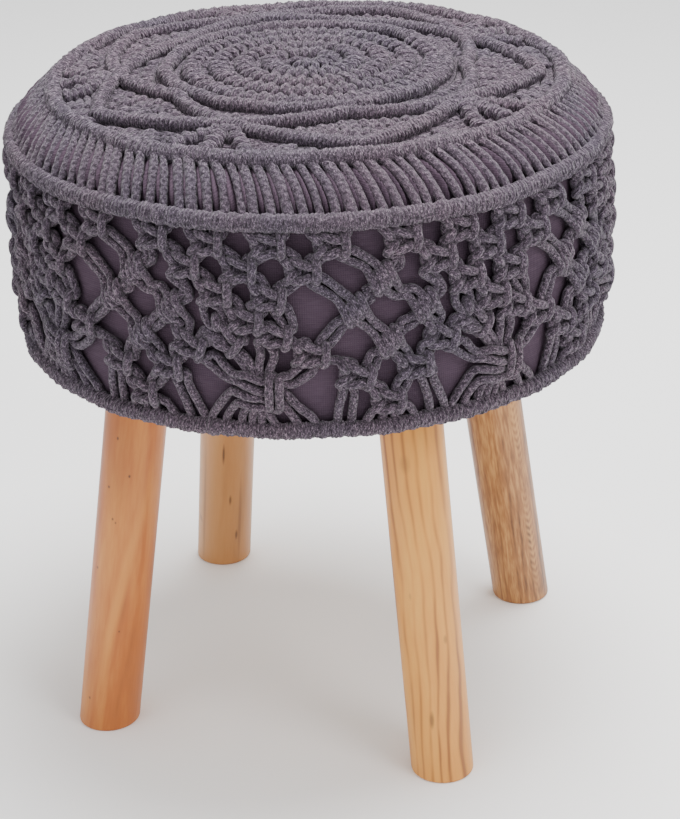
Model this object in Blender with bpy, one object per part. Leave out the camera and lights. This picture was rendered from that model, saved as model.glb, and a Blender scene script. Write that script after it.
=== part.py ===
"""Round padded stool in a knotted macrame cover, on four splayed wooden legs.

Metres, +Z up. The origin is on the floor under the middle of the seat. Angles round the seat are in
degrees from the front (-Y), positive towards the right (+X).
"""

import math
from collections import namedtuple

import bmesh
import bpy
from mathutils import Vector
from mathutils.geometry import delaunay_2d_cdt

MM = 0.001
TOUCH = 0.0003  # gap that resting pieces keep

# Frame
BOARD_RADIUS = 0.154
BOARD_BOTTOM = 0.248
BOARD_THICKNESS = 0.015
BOARD_EDGE = 0.002
BOARD_TOP = BOARD_BOTTOM + BOARD_THICKNESS
LEG_DIAMETER = 0.038
LEG_FOOT_RADIUS = 0.155  # leg axis to the stool's axis, on the floor
LEG_TOP_RADIUS = 0.116  # the same, under the board
LEG_TURN = -17.4  # the legs stand this far off the diagonals
LEG_FOOT_CHAMFER = 0.0015
LEG_SIDES = 28

# Pad: its turned profile, from the recess that holds the board, round the side, to the top
PadPoint = namedtuple("PadPoint", "radius height")
PAD_PROFILE = (
    PadPoint(BOARD_RADIUS + 2 * TOUCH, BOARD_TOP + TOUCH),
    PadPoint(BOARD_RADIUS + 2 * TOUCH, BOARD_BOTTOM),
    PadPoint(0.1650, BOARD_BOTTOM),
    PadPoint(0.1685, 0.2525),
    PadPoint(0.1720, 0.2640),
    PadPoint(0.1743, 0.2780),
    PadPoint(0.1753, 0.2960),
    PadPoint(0.1753, 0.3160),
    PadPoint(0.1743, 0.3340),
    PadPoint(0.1719, 0.3500),
    PadPoint(0.1706, 0.3620),
    PadPoint(0.1700, 0.3710),
    PadPoint(0.1623, 0.3818),
    PadPoint(0.1536, 0.3892),
    PadPoint(0.1440, 0.3930),
)
PAD_DOME = (0.122, 0.098, 0.074, 0.048, 0.020)  # radii of its loops over the domed top
PAD_SIDES = 56

# Cover: the surface that its strands follow down the wall
WallPoint = namedtuple("WallPoint", "height radius")
WALL = (
    WallPoint(0.2535, 0.1752),
    WallPoint(0.2640, 0.1775),
    WallPoint(0.2780, 0.1794),
    WallPoint(0.2960, 0.1803),
    WallPoint(0.3160, 0.1803),
    WallPoint(0.3340, 0.1793),
    WallPoint(0.3500, 0.1770),
    WallPoint(0.3660, 0.1766),
)
WALL_UNROLLED = 0.1845  # radius at which widths along the wall are measured
EDGE_DEPTH = 0.001  # a strand's edges lie this far behind that surface
STRAND_HALF = 0.0047
STRAND_RISE = 0.0030
TIE_HALF = 0.0044  # where a strand meets a ring

REPEATS = 8
PITCH = 360 / REPEATS
STAR_LINE = -9.0  # angle of the star knots of the first repeat

KnotKind = namedtuple("KnotKind", "half_width half_height rise")
KINDS = {
    "square": KnotKind(0.0104, 0.0068, 0.0048),
    "small": KnotKind(0.0086, 0.0066, 0.0046),
    "woven": KnotKind(0.0080, 0.0080, 0.0046),
    "star": KnotKind(0.0108, 0.0108, 0.0052),
}
# One repeat of the wall. The angle is from the star's line and the height is above the floor.
Knot = namedtuple("Knot", "name angle height kind")
KNOTS = (
    Knot("A1", -19.0, 0.3579, "square"),
    Knot("A2", -8.7, 0.3579, "square"),
    Knot("A3", 2.2, 0.3579, "square"),
    Knot("A4", 13.2, 0.3579, "square"),
    Knot("B1", -13.0, 0.3459, "square"),
    Knot("B2", -3.0, 0.3459, "square"),
    Knot("B3", 8.2, 0.3459, "square"),
    Knot("C1", -7.3, 0.3329, "small"),
    Knot("C2", 2.0, 0.3329, "small"),
    Knot("D1", -2.0, 0.3204, "small"),
    Knot("K1", 21.5, 0.3374, "woven"),
    Knot("K2", 16.0, 0.3204, "woven"),
    Knot("K3", 28.5, 0.3204, "woven"),
    Knot("K4", 22.3, 0.3024, "woven"),
    Knot("E1", -12.5, 0.2994, "square"),
    Knot("E2", -5.8, 0.3039, "small"),
    Knot("E3", 3.0, 0.3059, "small"),
    Knot("E4", 9.3, 0.2989, "square"),
    Knot("F1", -17.2, 0.2849, "square"),
    Knot("F2", 17.0, 0.2844, "square"),
    Knot("G1", 22.6, 0.2684, "square"),
    Knot("S1", -0.5, 0.2759, "star"),
)
# Strands between knots. The step is the repeat that the lower knot is in.
Strand = namedtuple("Strand", "upper lower step")
STRANDS = (
    Strand("A1", "K1", -1),
    Strand("A1", "B1", 0),
    Strand("A2", "B1", 0),
    Strand("A2", "B2", 0),
    Strand("A3", "B2", 0),
    Strand("A3", "B3", 0),
    Strand("A4", "B3", 0),
    Strand("A4", "K1", 0),
    Strand("B1", "K3", -1),
    Strand("B1", "C1", 0),
    Strand("B2", "C1", 0),
    Strand("B2", "C2", 0),
    Strand("B3", "C2", 0),
    Strand("B3", "K2", 0),
    Strand("C1", "E2", 0),
    Strand("C1", "D1", 0),
    Strand("C2", "D1", 0),
    Strand("C2", "E3", 0),
    Strand("D1", "E2", 0),
    Strand("D1", "E3", 0),
    Strand("K1", "K2", 0),
    Strand("K1", "K3", 0),
    Strand("K2", "E4", 0),
    Strand("K2", "K4", 0),
    Strand("K3", "K4", 0),
    Strand("K3", "E1", 1),
    Strand("K4", "F2", 0),
    Strand("K4", "F1", 1),
    Strand("E2", "E1", 0),
    Strand("E3", "E4", 0),
    Strand("E1", "F1", 0),
    Strand("E1", "S1", 0),
    Strand("E2", "S1", 0),
    Strand("E3", "S1", 0),
    Strand("E4", "S1", 0),
    Strand("E4", "F2", 0),
    Strand("F2", "G1", 0),
    Strand("F1", "G1", -1),
)
# Where strands are tied to the shoulder ring and to the bottom ring, in order round the repeat.
Tie = namedtuple("Tie", "knot angle")
TOP_TIES = tuple(Tie(knot.name, knot.angle) for knot in KNOTS[:4])
BOTTOM_TIES = (
    Tie("F1", -13.0),
    Tie("S1", -8.6),
    Tie("S1", -1.0),
    Tie("S1", 7.4),
    Tie("F2", 14.2),
    Tie("G1", 19.4),
    Tie("G1", 26.2),
)
TOP_TIE_HEIGHT = 0.3648
BOTTOM_TIE_HEIGHT = 0.2540

# Ridges raised on the woven and the star knots: two ends of each crest, and of each trough between
Ridge = namedtuple("Ridge", "x0 z0 x1 z1 rise")
WOVEN_RIDGES = (
    Ridge(-0.0058, 0.0012, -0.0022, -0.0056, 0.0045),
    Ridge(-0.0031, 0.0030, -0.0001, -0.0030, 0.0026),
    Ridge(-0.0020, 0.0042, 0.0020, -0.0042, 0.0049),
    Ridge(0.0001, 0.0030, 0.0031, -0.0030, 0.0026),
    Ridge(0.0022, 0.0056, 0.0058, -0.0012, 0.0045),
)
STAR_RIDGES = (
    Ridge(-0.0075, 0.0062, -0.0005, 0.0050, 0.0051),
    Ridge(-0.0080, 0.0034, -0.0010, 0.0024, 0.0033),
    Ridge(-0.0085, 0.0006, -0.0010, 0.0000, 0.0051),
    Ridge(-0.0080, -0.0026, -0.0010, -0.0030, 0.0033),
    Ridge(-0.0070, -0.0058, -0.0005, -0.0062, 0.0051),
    Ridge(0.0028, 0.0066, 0.0028, -0.0066, 0.0064),
    Ridge(0.0052, 0.0040, 0.0052, -0.0040, 0.0041),
    Ridge(0.0074, 0.0042, 0.0074, -0.0042, 0.0056),
)
RIDGES = {"woven": WOVEN_RIDGES, "star": STAR_RIDGES}

# Rings and shoulder, each as loops of the profile that they are turned from
Loop = namedtuple("Loop", "radius height")
SHOULDER_RING = (Loop(0.1790, 0.3665), Loop(0.1798, 0.3702), Loop(0.1780, 0.3742))
RIB_ENDS = (Loop(0.1754, 0.3768), Loop(0.1667, 0.3885), Loop(0.1563, 0.3962))
RIB_RISE = 0.0012
RIB_TROUGH = 0.0010
RIB_SLOPE = math.cos(math.radians(45))  # the shoulder falls at about 45 degrees
RIB_LEAN = 2.4  # degrees that a rib turns on its way down
RIM_RING = (Loop(0.1536, 0.4002), Loop(0.1500, 0.4020), Loop(0.1465, 0.3998))
BOTTOM_RING = (
    Loop(0.1783, 0.2524),
    Loop(0.1789, 0.2483),
    Loop(0.1760, 0.2445),
    Loop(0.1713, 0.2449),
    Loop(0.1697, 0.2488),
)
LINING_SIDE = (
    Loop(0.1729, 0.3660),
    Loop(0.1712, 0.3725),
    Loop(0.1637, 0.3830),
    Loop(0.1550, 0.3902),
    Loop(0.1450, 0.3938),
)
RIBS = 128
RIM_SIDES = 96
RING_SIDES = 64

# Crown, inside the rim ring
CROWN_RADIUS = 0.1445
CROWN_BASE = 0.3972
CROWN_UNDER = 0.3938
CROWN_DOME = 0.0075  # how much higher the middle is than the edge
UNDER_LOOPS = (0.110, 0.070, 0.030)  # radii of the points that dome its underside
UNDER_SIDES = 22
# The five diamonds share their side corners: angles of the outer corners, and of the shared
# corner that follows each
DIAMOND_LINES = (13.5, 86.0, 158.0, 231.0, 300.5)
CROSSINGS = (51.0, 122.0, 194.0, 274.0, 338.5)
DIAMOND_INNER = 0.0905
DIAMOND_SIDE = 0.1095
DIAMOND_OUTER = 0.1370
RIDGE_HALF = 0.0050
RIDGE_RISE = 0.0036
RIDGE_STEP = 0.0105
CROWN_RING = 0.0825
COIL_ROWS = (0.0090, 0.0245, 0.0400, 0.0555, 0.0702)
COIL_STEP = 0.0105
BUMP_RISE = 0.0018
BERRY_RADIUS = 0.131
BERRY_HALF = 0.0085
BERRY_RISE = 0.0050
HOLE_OFFSET = 8.0  # degrees to each side of a berry
HOLE_RADIUS = 0.1325
HOLE_HALF_LONG = 0.0052
HOLE_HALF_SHORT = 0.0036
HOLE_SIDES = 6

# Colours, linear
CORD_COLOUR = (0.150, 0.125, 0.150, 1)
LINING_COLOUR = (0.095, 0.060, 0.090, 1)
BOARD_COLOUR = (0.420, 0.290, 0.170, 1)
LEG_COLOURS = {
    "leg_front_left": (0.470, 0.240, 0.080, 1),
    "leg_front_right": (0.640, 0.430, 0.200, 1),
    "leg_back_right": (0.330, 0.200, 0.110, 1),
    "leg_back_left": (0.520, 0.340, 0.160, 1),
}
LEG_ANGLES = {
    "leg_front_left": LEG_TURN - 45,
    "leg_front_right": LEG_TURN + 45,
    "leg_back_right": LEG_TURN + 135,
    "leg_back_left": LEG_TURN - 135,
}


def material(name, colour, roughness):
    made = bpy.data.materials.new(name)
    made.use_nodes = True
    shader = made.node_tree.nodes["Principled BSDF"]
    shader.inputs["Base Color"].default_value = colour
    shader.inputs["Roughness"].default_value = roughness
    shader.inputs["Metallic"].default_value = 0
    made.diffuse_color = colour
    return made


def object_of(name, mesh_source, surface):
    """The bmesh as a named object with its material."""
    mesh = bpy.data.meshes.new(name)
    bmesh.ops.recalc_face_normals(mesh_source, faces=mesh_source.faces[:])
    mesh_source.to_mesh(mesh)
    mesh_source.free()
    mesh.materials.append(surface)
    made = bpy.data.objects.new(name, mesh)
    bpy.context.collection.objects.link(made)
    return made


def shade_round(made, crease):
    made.data.shade_smooth()
    made.data.set_sharp_from_angle(angle=math.radians(crease))


def bevel(made, width):
    edge = made.modifiers.new("Edge", "BEVEL")
    edge.width = width
    edge.segments = 2
    edge.limit_method = "ANGLE"
    edge.angle_limit = math.radians(50)


def on_seat(angle, radius, height):
    """The place at this angle round the seat, in degrees from the front."""
    turn = math.radians(angle)
    return Vector((radius * math.sin(turn), -radius * math.cos(turn), height))


def dome(radius):
    """How much higher the top of the seat is here than at the crown's edge."""
    return CROWN_DOME * max(0.0, 1 - (radius / CROWN_RADIUS) ** 2)


# ---------------------------------------------------------------- frame and pad


def seat_board():
    mesh = bmesh.new()
    bmesh.ops.create_cone(
        mesh,
        cap_ends=True,
        segments=RING_SIDES,
        radius1=BOARD_RADIUS,
        radius2=BOARD_RADIUS,
        depth=BOARD_THICKNESS,
    )
    made = object_of("seat_board", mesh, material("board_wood", BOARD_COLOUR, 0.55))
    made.location.z = BOARD_BOTTOM + BOARD_THICKNESS / 2
    bevel(made, BOARD_EDGE)
    shade_round(made, 40)
    return made


def leg_mesh():
    """A round leg leaning along +X, cut level at the floor and under the board."""
    top = BOARD_BOTTOM - TOUCH
    axis = Vector((LEG_TOP_RADIUS - LEG_FOOT_RADIUS, 0, top)).normalized()
    across = Vector((0, 1, 0))
    inward = axis.cross(across)
    foot = Vector((LEG_FOOT_RADIUS, 0, 0))
    mesh = bmesh.new()
    rings = []
    for level, radius in (
        (0, LEG_DIAMETER / 2 - LEG_FOOT_CHAMFER),
        (LEG_FOOT_CHAMFER, LEG_DIAMETER / 2),
        (top, LEG_DIAMETER / 2),
    ):
        ring = []
        for step in range(LEG_SIDES):
            turn = 2 * math.pi * step / LEG_SIDES
            side = foot + radius * (math.cos(turn) * inward + math.sin(turn) * across)
            along = (level - side.z) / axis.z
            ring.append(mesh.verts.new(side + along * axis))
        rings.append(ring)
    for lower, upper in zip(rings, rings[1:]):
        strip(mesh, lower, upper)
    mesh.faces.new(rings[0])
    mesh.faces.new(rings[-1])
    return mesh


def leg(name):
    made = object_of(name, leg_mesh(), material(name + "_wood", LEG_COLOURS[name], 0.35))
    made.rotation_euler.z = math.radians(LEG_ANGLES[name] - 90)
    shade_round(made, 40)
    return made


def seat_pad():
    mesh = bmesh.new()
    loops = [
        [mesh.verts.new(on_seat(360 * step / PAD_SIDES, *point)) for step in range(PAD_SIDES)]
        for point in PAD_PROFILE
    ]
    for radius in PAD_DOME:
        loops.append(even_loop(mesh, (radius, PAD_PROFILE[-1].height + dome(radius)), PAD_SIDES))
    for lower, upper in zip(loops, loops[1:]):
        strip(mesh, lower, upper)
    mesh.faces.new(loops[0])
    mesh.faces.new(loops[-1])
    made = object_of("seat_pad", mesh, material("lining_cloth", LINING_COLOUR, 0.9))
    shade_round(made, 50)
    return made


# ---------------------------------------------------------------- loops and strips


def strip(mesh, lower, upper):
    """Quads between two closed loops of as many points."""
    for i in range(len(lower)):
        j = (i + 1) % len(lower)
        mesh.faces.new((lower[i], lower[j], upper[j], upper[i]))


def angle_of(vertex):
    return math.degrees(math.atan2(vertex.co.x, -vertex.co.y)) % 360


def from_zero(loop):
    """The loop turned so that its angles rise from its first point."""
    angles = [angle_of(vertex) for vertex in loop]
    start = angles.index(min(angles))
    return loop[start:] + loop[:start]


def sew(mesh, lower, upper):
    """Triangles between two closed loops whose numbers of points differ."""
    lower = from_zero(lower)
    upper = from_zero(upper)
    low_angles = [angle_of(vertex) for vertex in lower] + [angle_of(lower[0]) + 360]
    high_angles = [angle_of(vertex) for vertex in upper] + [angle_of(upper[0]) + 360]
    i = 0
    j = 0
    while i < len(lower) or j < len(upper):
        a = lower[i % len(lower)]
        b = upper[j % len(upper)]
        lower_first = j == len(upper) or (
            i < len(lower)
            and low_angles[i] + low_angles[i + 1] <= high_angles[j] + high_angles[j + 1]
        )
        if lower_first:
            i += 1
            mesh.faces.new((a, lower[i % len(lower)], b))
        else:
            j += 1
            mesh.faces.new((a, upper[j % len(upper)], b))


def even_loop(mesh, place, sides):
    return [mesh.verts.new(on_seat(360 * step / sides, *place)) for step in range(sides)]


# ---------------------------------------------------------------- the knotted wall


def wall_radius(height):
    for lower, upper in zip(WALL, WALL[1:]):
        if height <= upper.height:
            share = (height - lower.height) / (upper.height - lower.height)
            return lower.radius + share * (upper.radius - lower.radius)
    return WALL[-1].radius


def unrolled(angle):
    return math.radians(angle) * WALL_UNROLLED


def flat_place(knot, step=0):
    """A knot's place on the unrolled wall, in the repeat this many further round."""
    return Vector((unrolled(knot.angle + step * PITCH), knot.height))


Port = namedtuple("Port", "turn strand end")


def ports_of(knot, places):
    """The strands that meet at a knot, by the direction in which they leave it."""
    here = flat_place(knot)
    found = []
    for number, strand in enumerate(STRANDS):
        if strand.upper == knot.name:
            there = flat_place(places[strand.lower], strand.step)
            found.append(Port(heading(there - here), ("strand", number), "upper"))
        if strand.lower == knot.name:
            there = flat_place(places[strand.upper], -strand.step)
            found.append(Port(heading(there - here), ("strand", number), "lower"))
    for side, ties, height in (
        ("top", TOP_TIES, TOP_TIE_HEIGHT),
        ("bottom", BOTTOM_TIES, BOTTOM_TIE_HEIGHT),
    ):
        for number, tie in enumerate(ties):
            if tie.knot == knot.name:
                there = Vector((unrolled(tie.angle), height))
                found.append(Port(heading(there - here), (side, number), "tie"))
    return sorted(found)


def heading(way):
    return math.atan2(way.y, way.x) % (2 * math.pi)


def corner_offset(turn, following, kind):
    """Where the edges of two neighbouring strands meet, kept outside the knot's own oval."""
    opening = (following - turn) % (2 * math.pi)
    middle = turn + opening / 2
    crossing = STRAND_HALF / max(math.sin(opening / 2), 0.34)
    across = math.cos(middle) / kind.half_width
    upright = math.sin(middle) / kind.half_height
    oval = 1 / math.hypot(across, upright)
    reach = max(crossing, oval)
    return Vector((reach * math.cos(middle), reach * math.sin(middle)))


def wall_place(flat, depth, step):
    """A point of the unrolled wall, set on the cover in the repeat this many further round."""
    angle = math.degrees(flat.x / WALL_UNROLLED) + STAR_LINE + step * PITCH
    return on_seat(angle, wall_radius(flat.y) + depth, flat.y)


class Mouth:
    """Where a strand leaves a knot or a ring: its right edge, its crest and its left edge."""

    def __init__(self, right, crest, left):
        self.right = right
        self.crest = crest
        self.left = left


def add_knot(mesh, knot, places, step):
    """One knot's faces. It returns the mouths at which its strands start."""
    kind = KINDS[knot.kind]
    ports = ports_of(knot, places)
    here = flat_place(knot)
    flats = []
    for number, port in enumerate(ports):
        following = ports[(number + 1) % len(ports)]
        flats.append(here + corner_offset(port.turn, following.turn, kind))
    corners = [mesh.verts.new(wall_place(flat, -EDGE_DEPTH, step)) for flat in flats]
    crests = []
    mouths = {}
    for number, port in enumerate(ports):
        middle = (flats[number - 1] + flats[number]) / 2
        crest = mesh.verts.new(wall_place(middle, STRAND_RISE, step))
        crests.append((middle, crest))
        mouths[port.strand, port.end] = Mouth(corners[number - 1], crest, corners[number])
    outline = []
    for number, (middle, crest) in enumerate(crests):
        outline.append((flats[number - 1], corners[number - 1]))
        outline.append((middle, crest))
    fill_knot(mesh, knot, outline, here, step)
    mesh.faces.new(corners[::-1])
    return mouths


def fill_knot(mesh, knot, outline, here, step):
    ridges = RIDGES.get(knot.kind)
    if not ridges:
        top = mesh.verts.new(wall_place(here, KINDS[knot.kind].rise, step))
        for (_, first), (_, second) in zip(outline, outline[1:] + outline[:1]):
            mesh.faces.new((first, second, top))
        return
    points = [flat for flat, _ in outline]
    vertices = [vertex for _, vertex in outline]
    for ridge in ridges:
        for x, z in ((ridge.x0, ridge.z0), (ridge.x1, ridge.z1)):
            flat = here + Vector((x, z))
            points.append(flat)
            vertices.append(mesh.verts.new(wall_place(flat, ridge.rise, step)))
    cover_flat(mesh, points, vertices, [list(range(len(outline)))], ())


def cover_flat(mesh, points, vertices, rims, holes):
    """Triangles over flat points, inside the first rim and outside the holes."""
    scale = 1 / MM
    flat = [Vector((point.x * scale, point.y * scale)) for point in points]
    edges = []
    for rim in rims:
        edges += list(zip(rim, rim[1:] + rim[:1]))
    found = delaunay_2d_cdt(flat, edges, [rims[0]], 1, 1e-6)
    came_from = [sources[0] for sources in found[3]]
    for face in found[2]:
        middle = sum((found[0][i] for i in face), Vector((0, 0))) / len(face)
        if any(inside(middle, [flat[i] for i in hole]) for hole in holes):
            continue
        mesh.faces.new([vertices[came_from[i]] for i in face])


def inside(point, outline):
    crossings = 0
    for a, b in zip(outline, outline[1:] + outline[:1]):
        if (a.y > point.y) != (b.y > point.y):
            crossings += point.x < a.x + (point.y - a.y) * (b.x - a.x) / (b.y - a.y)
    return crossings % 2 == 1


def add_strand(mesh, start, end):
    """A strand between two mouths, ridged in front and flat behind."""
    mesh.faces.new((start.right, end.left, end.crest, start.crest))
    mesh.faces.new((start.crest, end.crest, end.right, start.left))
    mesh.faces.new((start.right, start.left, end.right, end.left))


def tie_mouth(mesh, angle, height, facing_down, step):
    """A ring's mouth for one strand, as seen from the ring."""
    middle = unrolled(angle)
    side = -TIE_HALF if facing_down else TIE_HALF
    right = mesh.verts.new(wall_place(Vector((middle + side, height)), -EDGE_DEPTH, step))
    crest = mesh.verts.new(wall_place(Vector((middle, height)), STRAND_RISE, step))
    left = mesh.verts.new(wall_place(Vector((middle - side, height)), -EDGE_DEPTH, step))
    return Mouth(right, crest, left)


def add_wall(mesh):
    """The knotted wall. It returns the front and back loops of its top and bottom edges."""
    places = {knot.name: knot for knot in KNOTS}
    mouths = {}
    for step in range(REPEATS):
        for knot in KNOTS:
            for (strand, end), mouth in add_knot(mesh, knot, places, step).items():
                mouths[step, strand, end] = mouth
    for step in range(REPEATS):
        for number, strand in enumerate(STRANDS):
            other = (step + strand.step) % REPEATS
            start = mouths[step, ("strand", number), "upper"]
            add_strand(mesh, start, mouths[other, ("strand", number), "lower"])
    top_front, top_back = add_ties(mesh, mouths, "top", TOP_TIES, TOP_TIE_HEIGHT)
    low_front, low_back = add_ties(mesh, mouths, "bottom", BOTTOM_TIES, BOTTOM_TIE_HEIGHT)
    return top_front, top_back, low_front, low_back


def add_ties(mesh, mouths, side, ties, height):
    front = []
    back = []
    at_top = side == "top"
    for step in range(REPEATS):
        for number, tie in enumerate(ties):
            ring = tie_mouth(mesh, tie.angle, height, at_top, step)
            add_strand(mesh, mouths[step, (side, number), "tie"], ring)
            edges = (ring.right, ring.left) if at_top else (ring.left, ring.right)
            front += [edges[0], ring.crest, edges[1]]
            back += list(edges)
            if at_top:
                angle = tie.angle + PITCH / len(ties) / 2
                between = Vector((unrolled(angle), height))
                middle = mesh.verts.new(wall_place(between, -EDGE_DEPTH, step))
                front.append(middle)
                back.append(middle)
    return front, back


# ---------------------------------------------------------------- shoulder and rings


def rib_loop(mesh, number):
    """One loop of the ribbed shoulder, with a crest and a trough for each cord."""
    loop = RIB_ENDS[number]
    share = number / (len(RIB_ENDS) - 1)
    points = []
    for step in range(2 * RIBS):
        lift = RIB_SLOPE * (RIB_RISE if step % 2 else -RIB_TROUGH)
        angle = 180 * step / RIBS + RIB_LEAN * (1 - share)
        place = on_seat(angle, loop.radius + lift, loop.height + lift)
        points.append(mesh.verts.new(place))
    return points


def add_front(mesh, wall_edge):
    """Shoulder ring, ribs and rim ring, up to the edge of the crown."""
    ring = [
        [mesh.verts.new(on_seat(angle_of(point), *loop)) for point in wall_edge]
        for loop in SHOULDER_RING
    ]
    strip(mesh, wall_edge, ring[0])
    for lower, upper in zip(ring, ring[1:]):
        strip(mesh, lower, upper)
    ribs = [rib_loop(mesh, number) for number in range(len(RIB_ENDS))]
    sew(mesh, ring[-1], ribs[0])
    for lower, upper in zip(ribs, ribs[1:]):
        strip(mesh, lower, upper)
    rim = [even_loop(mesh, loop, RIM_SIDES) for loop in RIM_RING]
    sew(mesh, ribs[-1], rim[0])
    for lower, upper in zip(rim, rim[1:]):
        strip(mesh, lower, upper)
    edge = even_loop(mesh, (CROWN_RADIUS, CROWN_BASE), RIM_SIDES)
    strip(mesh, rim[-1], edge)
    return edge


def add_back(mesh, wall_edge):
    """The inside of the ring and shoulder, up to the edge of the crown's underside."""
    loops = [even_loop(mesh, loop, RING_SIDES) for loop in LINING_SIDE]
    sew(mesh, wall_edge, loops[0])
    for lower, upper in zip(loops, loops[1:]):
        strip(mesh, lower, upper)
    return loops[-1]


def add_bottom_ring(mesh, front, back):
    loops = [even_loop(mesh, loop, RING_SIDES) for loop in BOTTOM_RING]
    sew(mesh, front, loops[0])
    for upper, lower in zip(loops, loops[1:]):
        strip(mesh, upper, lower)
    sew(mesh, loops[-1], back)


# ---------------------------------------------------------------- the crown


def crown_point(angle, radius):
    place = on_seat(angle, radius, 0)
    return Vector((place.x, place.y))


def crown_circle(radius):
    count = max(5, round(2 * math.pi * radius / RIDGE_STEP))
    return [crown_point(360 * i / count, radius) for i in range(count)]


def run_between(start, end, step):
    """Even points from start up to, but not at, end."""
    count = max(1, round((end - start).length / step))
    return [start.lerp(end, i / count) for i in range(count)]


def crown_ridges():
    """The crests of the crown's ridges, each as a closed run of flat points."""
    runs = []
    for radius in (CROWN_RING, *COIL_ROWS):
        runs.append(crown_circle(radius))
    for number, line in enumerate(DIAMOND_LINES):
        shape = (
            crown_point(line, DIAMOND_INNER),
            crown_point(CROSSINGS[number], DIAMOND_SIDE),
            crown_point(line, DIAMOND_OUTER),
            crown_point(CROSSINGS[number - 1], DIAMOND_SIDE),
        )
        run = []
        for start, end in zip(shape, shape[1:] + shape[:1]):
            run += run_between(start, end, RIDGE_STEP)
        runs.append(run)
    return runs


def nearest(point, others):
    return min(((point - other).length for other in others), default=1.0)


def crown_holes():
    holes = []
    for line in CROSSINGS:
        for side in (-HOLE_OFFSET, HOLE_OFFSET):
            middle = crown_point(line + side, HOLE_RADIUS)
            outward = middle.normalized()
            along = Vector((-outward.y, outward.x))
            hole = []
            for i in range(HOLE_SIDES):
                turn = 2 * math.pi * i / HOLE_SIDES
                long_way = HOLE_HALF_LONG * math.cos(turn) * along
                hole.append(middle + long_way + HOLE_HALF_SHORT * math.sin(turn) * outward)
            holes.append(hole)
    return holes


def crown_relief(holes):
    """Flat points of the crown with their rise: ridges, bumps and berry knots."""
    crests = []
    rims = [point for hole in holes for point in hole]
    for run in crown_ridges():
        for point in run:
            if nearest(point, crests) > RIDGE_STEP / 2 and nearest(point, rims) > RIDGE_HALF / 2:
                crests.append(point)
    relief = [(point, RIDGE_RISE) for point in crests]
    taken = crests + rims
    for line in CROSSINGS:
        middle = crown_point(line, BERRY_RADIUS)
        relief.append((middle, BERRY_RISE))
        for i in range(6):
            turn = math.radians(60 * i)
            side = middle + 0.62 * BERRY_HALF * Vector((math.cos(turn), math.sin(turn)))
            relief.append((side, 0.7 * BERRY_RISE))
        taken.append(middle)
    feet = []
    for run in crown_ridges():
        for here, following in zip(run, run[1:] + run[:1]):
            along = (following - here).normalized()
            for side in (-RIDGE_HALF, RIDGE_HALF):
                foot = (here + following) / 2 + side * Vector((-along.y, along.x))
                off_crests = nearest(foot, taken) > 0.85 * RIDGE_HALF
                off_feet = nearest(foot, feet) > 0.8 * RIDGE_HALF
                if off_crests and off_feet and foot.length < CROWN_RADIUS - RIDGE_HALF / 2:
                    feet.append(foot)
    relief += [(foot, 0.0) for foot in feet]
    taken += feet
    relief.append((Vector((0, 0)), 0.0))
    rows = int(2 * CROWN_RADIUS / COIL_STEP)
    for row in range(rows):
        for column in range(rows):
            x = (column - rows / 2 + 0.5 * (row % 2)) * COIL_STEP
            point = Vector((x, (row - rows / 2) * COIL_STEP * 0.87))
            beyond = CROWN_RING + RIDGE_HALF < point.length < CROWN_RADIUS - RIDGE_HALF
            if beyond and nearest(point, [place for place, _ in relief] + rims) > 0.6 * COIL_STEP:
                relief.append((point, BUMP_RISE))
    return relief


def on_crown(mesh, point, base, rise=0.0):
    return mesh.verts.new((*point, base + dome(point.length) + rise))


def add_crown(mesh, front_edge, back_edge):
    """The crown's ridged front and plain underside, joined round its holes."""
    holes = crown_holes()
    front_holes = []
    back_holes = []
    for hole in holes:
        front_holes.append([on_crown(mesh, point, CROWN_BASE) for point in hole])
        back_holes.append([on_crown(mesh, point, CROWN_UNDER) for point in hole])
        strip(mesh, back_holes[-1], front_holes[-1])
    relief = crown_relief(holes)
    raised = [on_crown(mesh, point, CROWN_BASE, rise) for point, rise in relief]
    under = [
        on_crown(mesh, crown_point(360 * step / UNDER_SIDES, radius), CROWN_UNDER)
        for radius in UNDER_LOOPS
        for step in range(UNDER_SIDES)
    ]
    cover_loops(mesh, front_edge, front_holes, raised)
    cover_loops(mesh, back_edge, back_holes, under)


def cover_loops(mesh, edge, holes, raised):
    vertices = list(edge)
    rims = [list(range(len(edge)))]
    for hole in holes:
        rims.append(list(range(len(vertices), len(vertices) + len(hole))))
        vertices += hole
    vertices += raised
    points = [Vector((vertex.co.x, vertex.co.y)) for vertex in vertices]
    cover_flat(mesh, points, vertices, rims, rims[1:])


def macrame_cover():
    mesh = bmesh.new()
    top_front, top_back, low_front, low_back = add_wall(mesh)
    front_edge = add_front(mesh, top_front)
    back_edge = add_back(mesh, top_back)
    add_bottom_ring(mesh, low_front, low_back)
    add_crown(mesh, front_edge, back_edge)
    made = object_of("macrame_cover", mesh, material("cotton_cord", CORD_COLOUR, 0.95))
    shade_round(made, 35)
    return made


def main():
    for old in list(bpy.data.objects):
        bpy.data.objects.remove(old)
    seat_board()
    seat_pad()
    for name in LEG_ANGLES:
        leg(name)
    macrame_cover()


main()
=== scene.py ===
"""Looks of a round padded stool: a knotted cord cover over a cloth lining, on four wooden legs.

Metres, +Z up. Angles round the seat are in degrees from the front (-Y), positive towards the
right (+X). The knotted wall is laid out flat in millimetres: s along the wall from its star knot,
z above the floor, d outwards from the lining.
"""

import math
from collections import namedtuple
from itertools import product

import bpy
import numpy as np
from mathutils import Matrix, Vector


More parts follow.
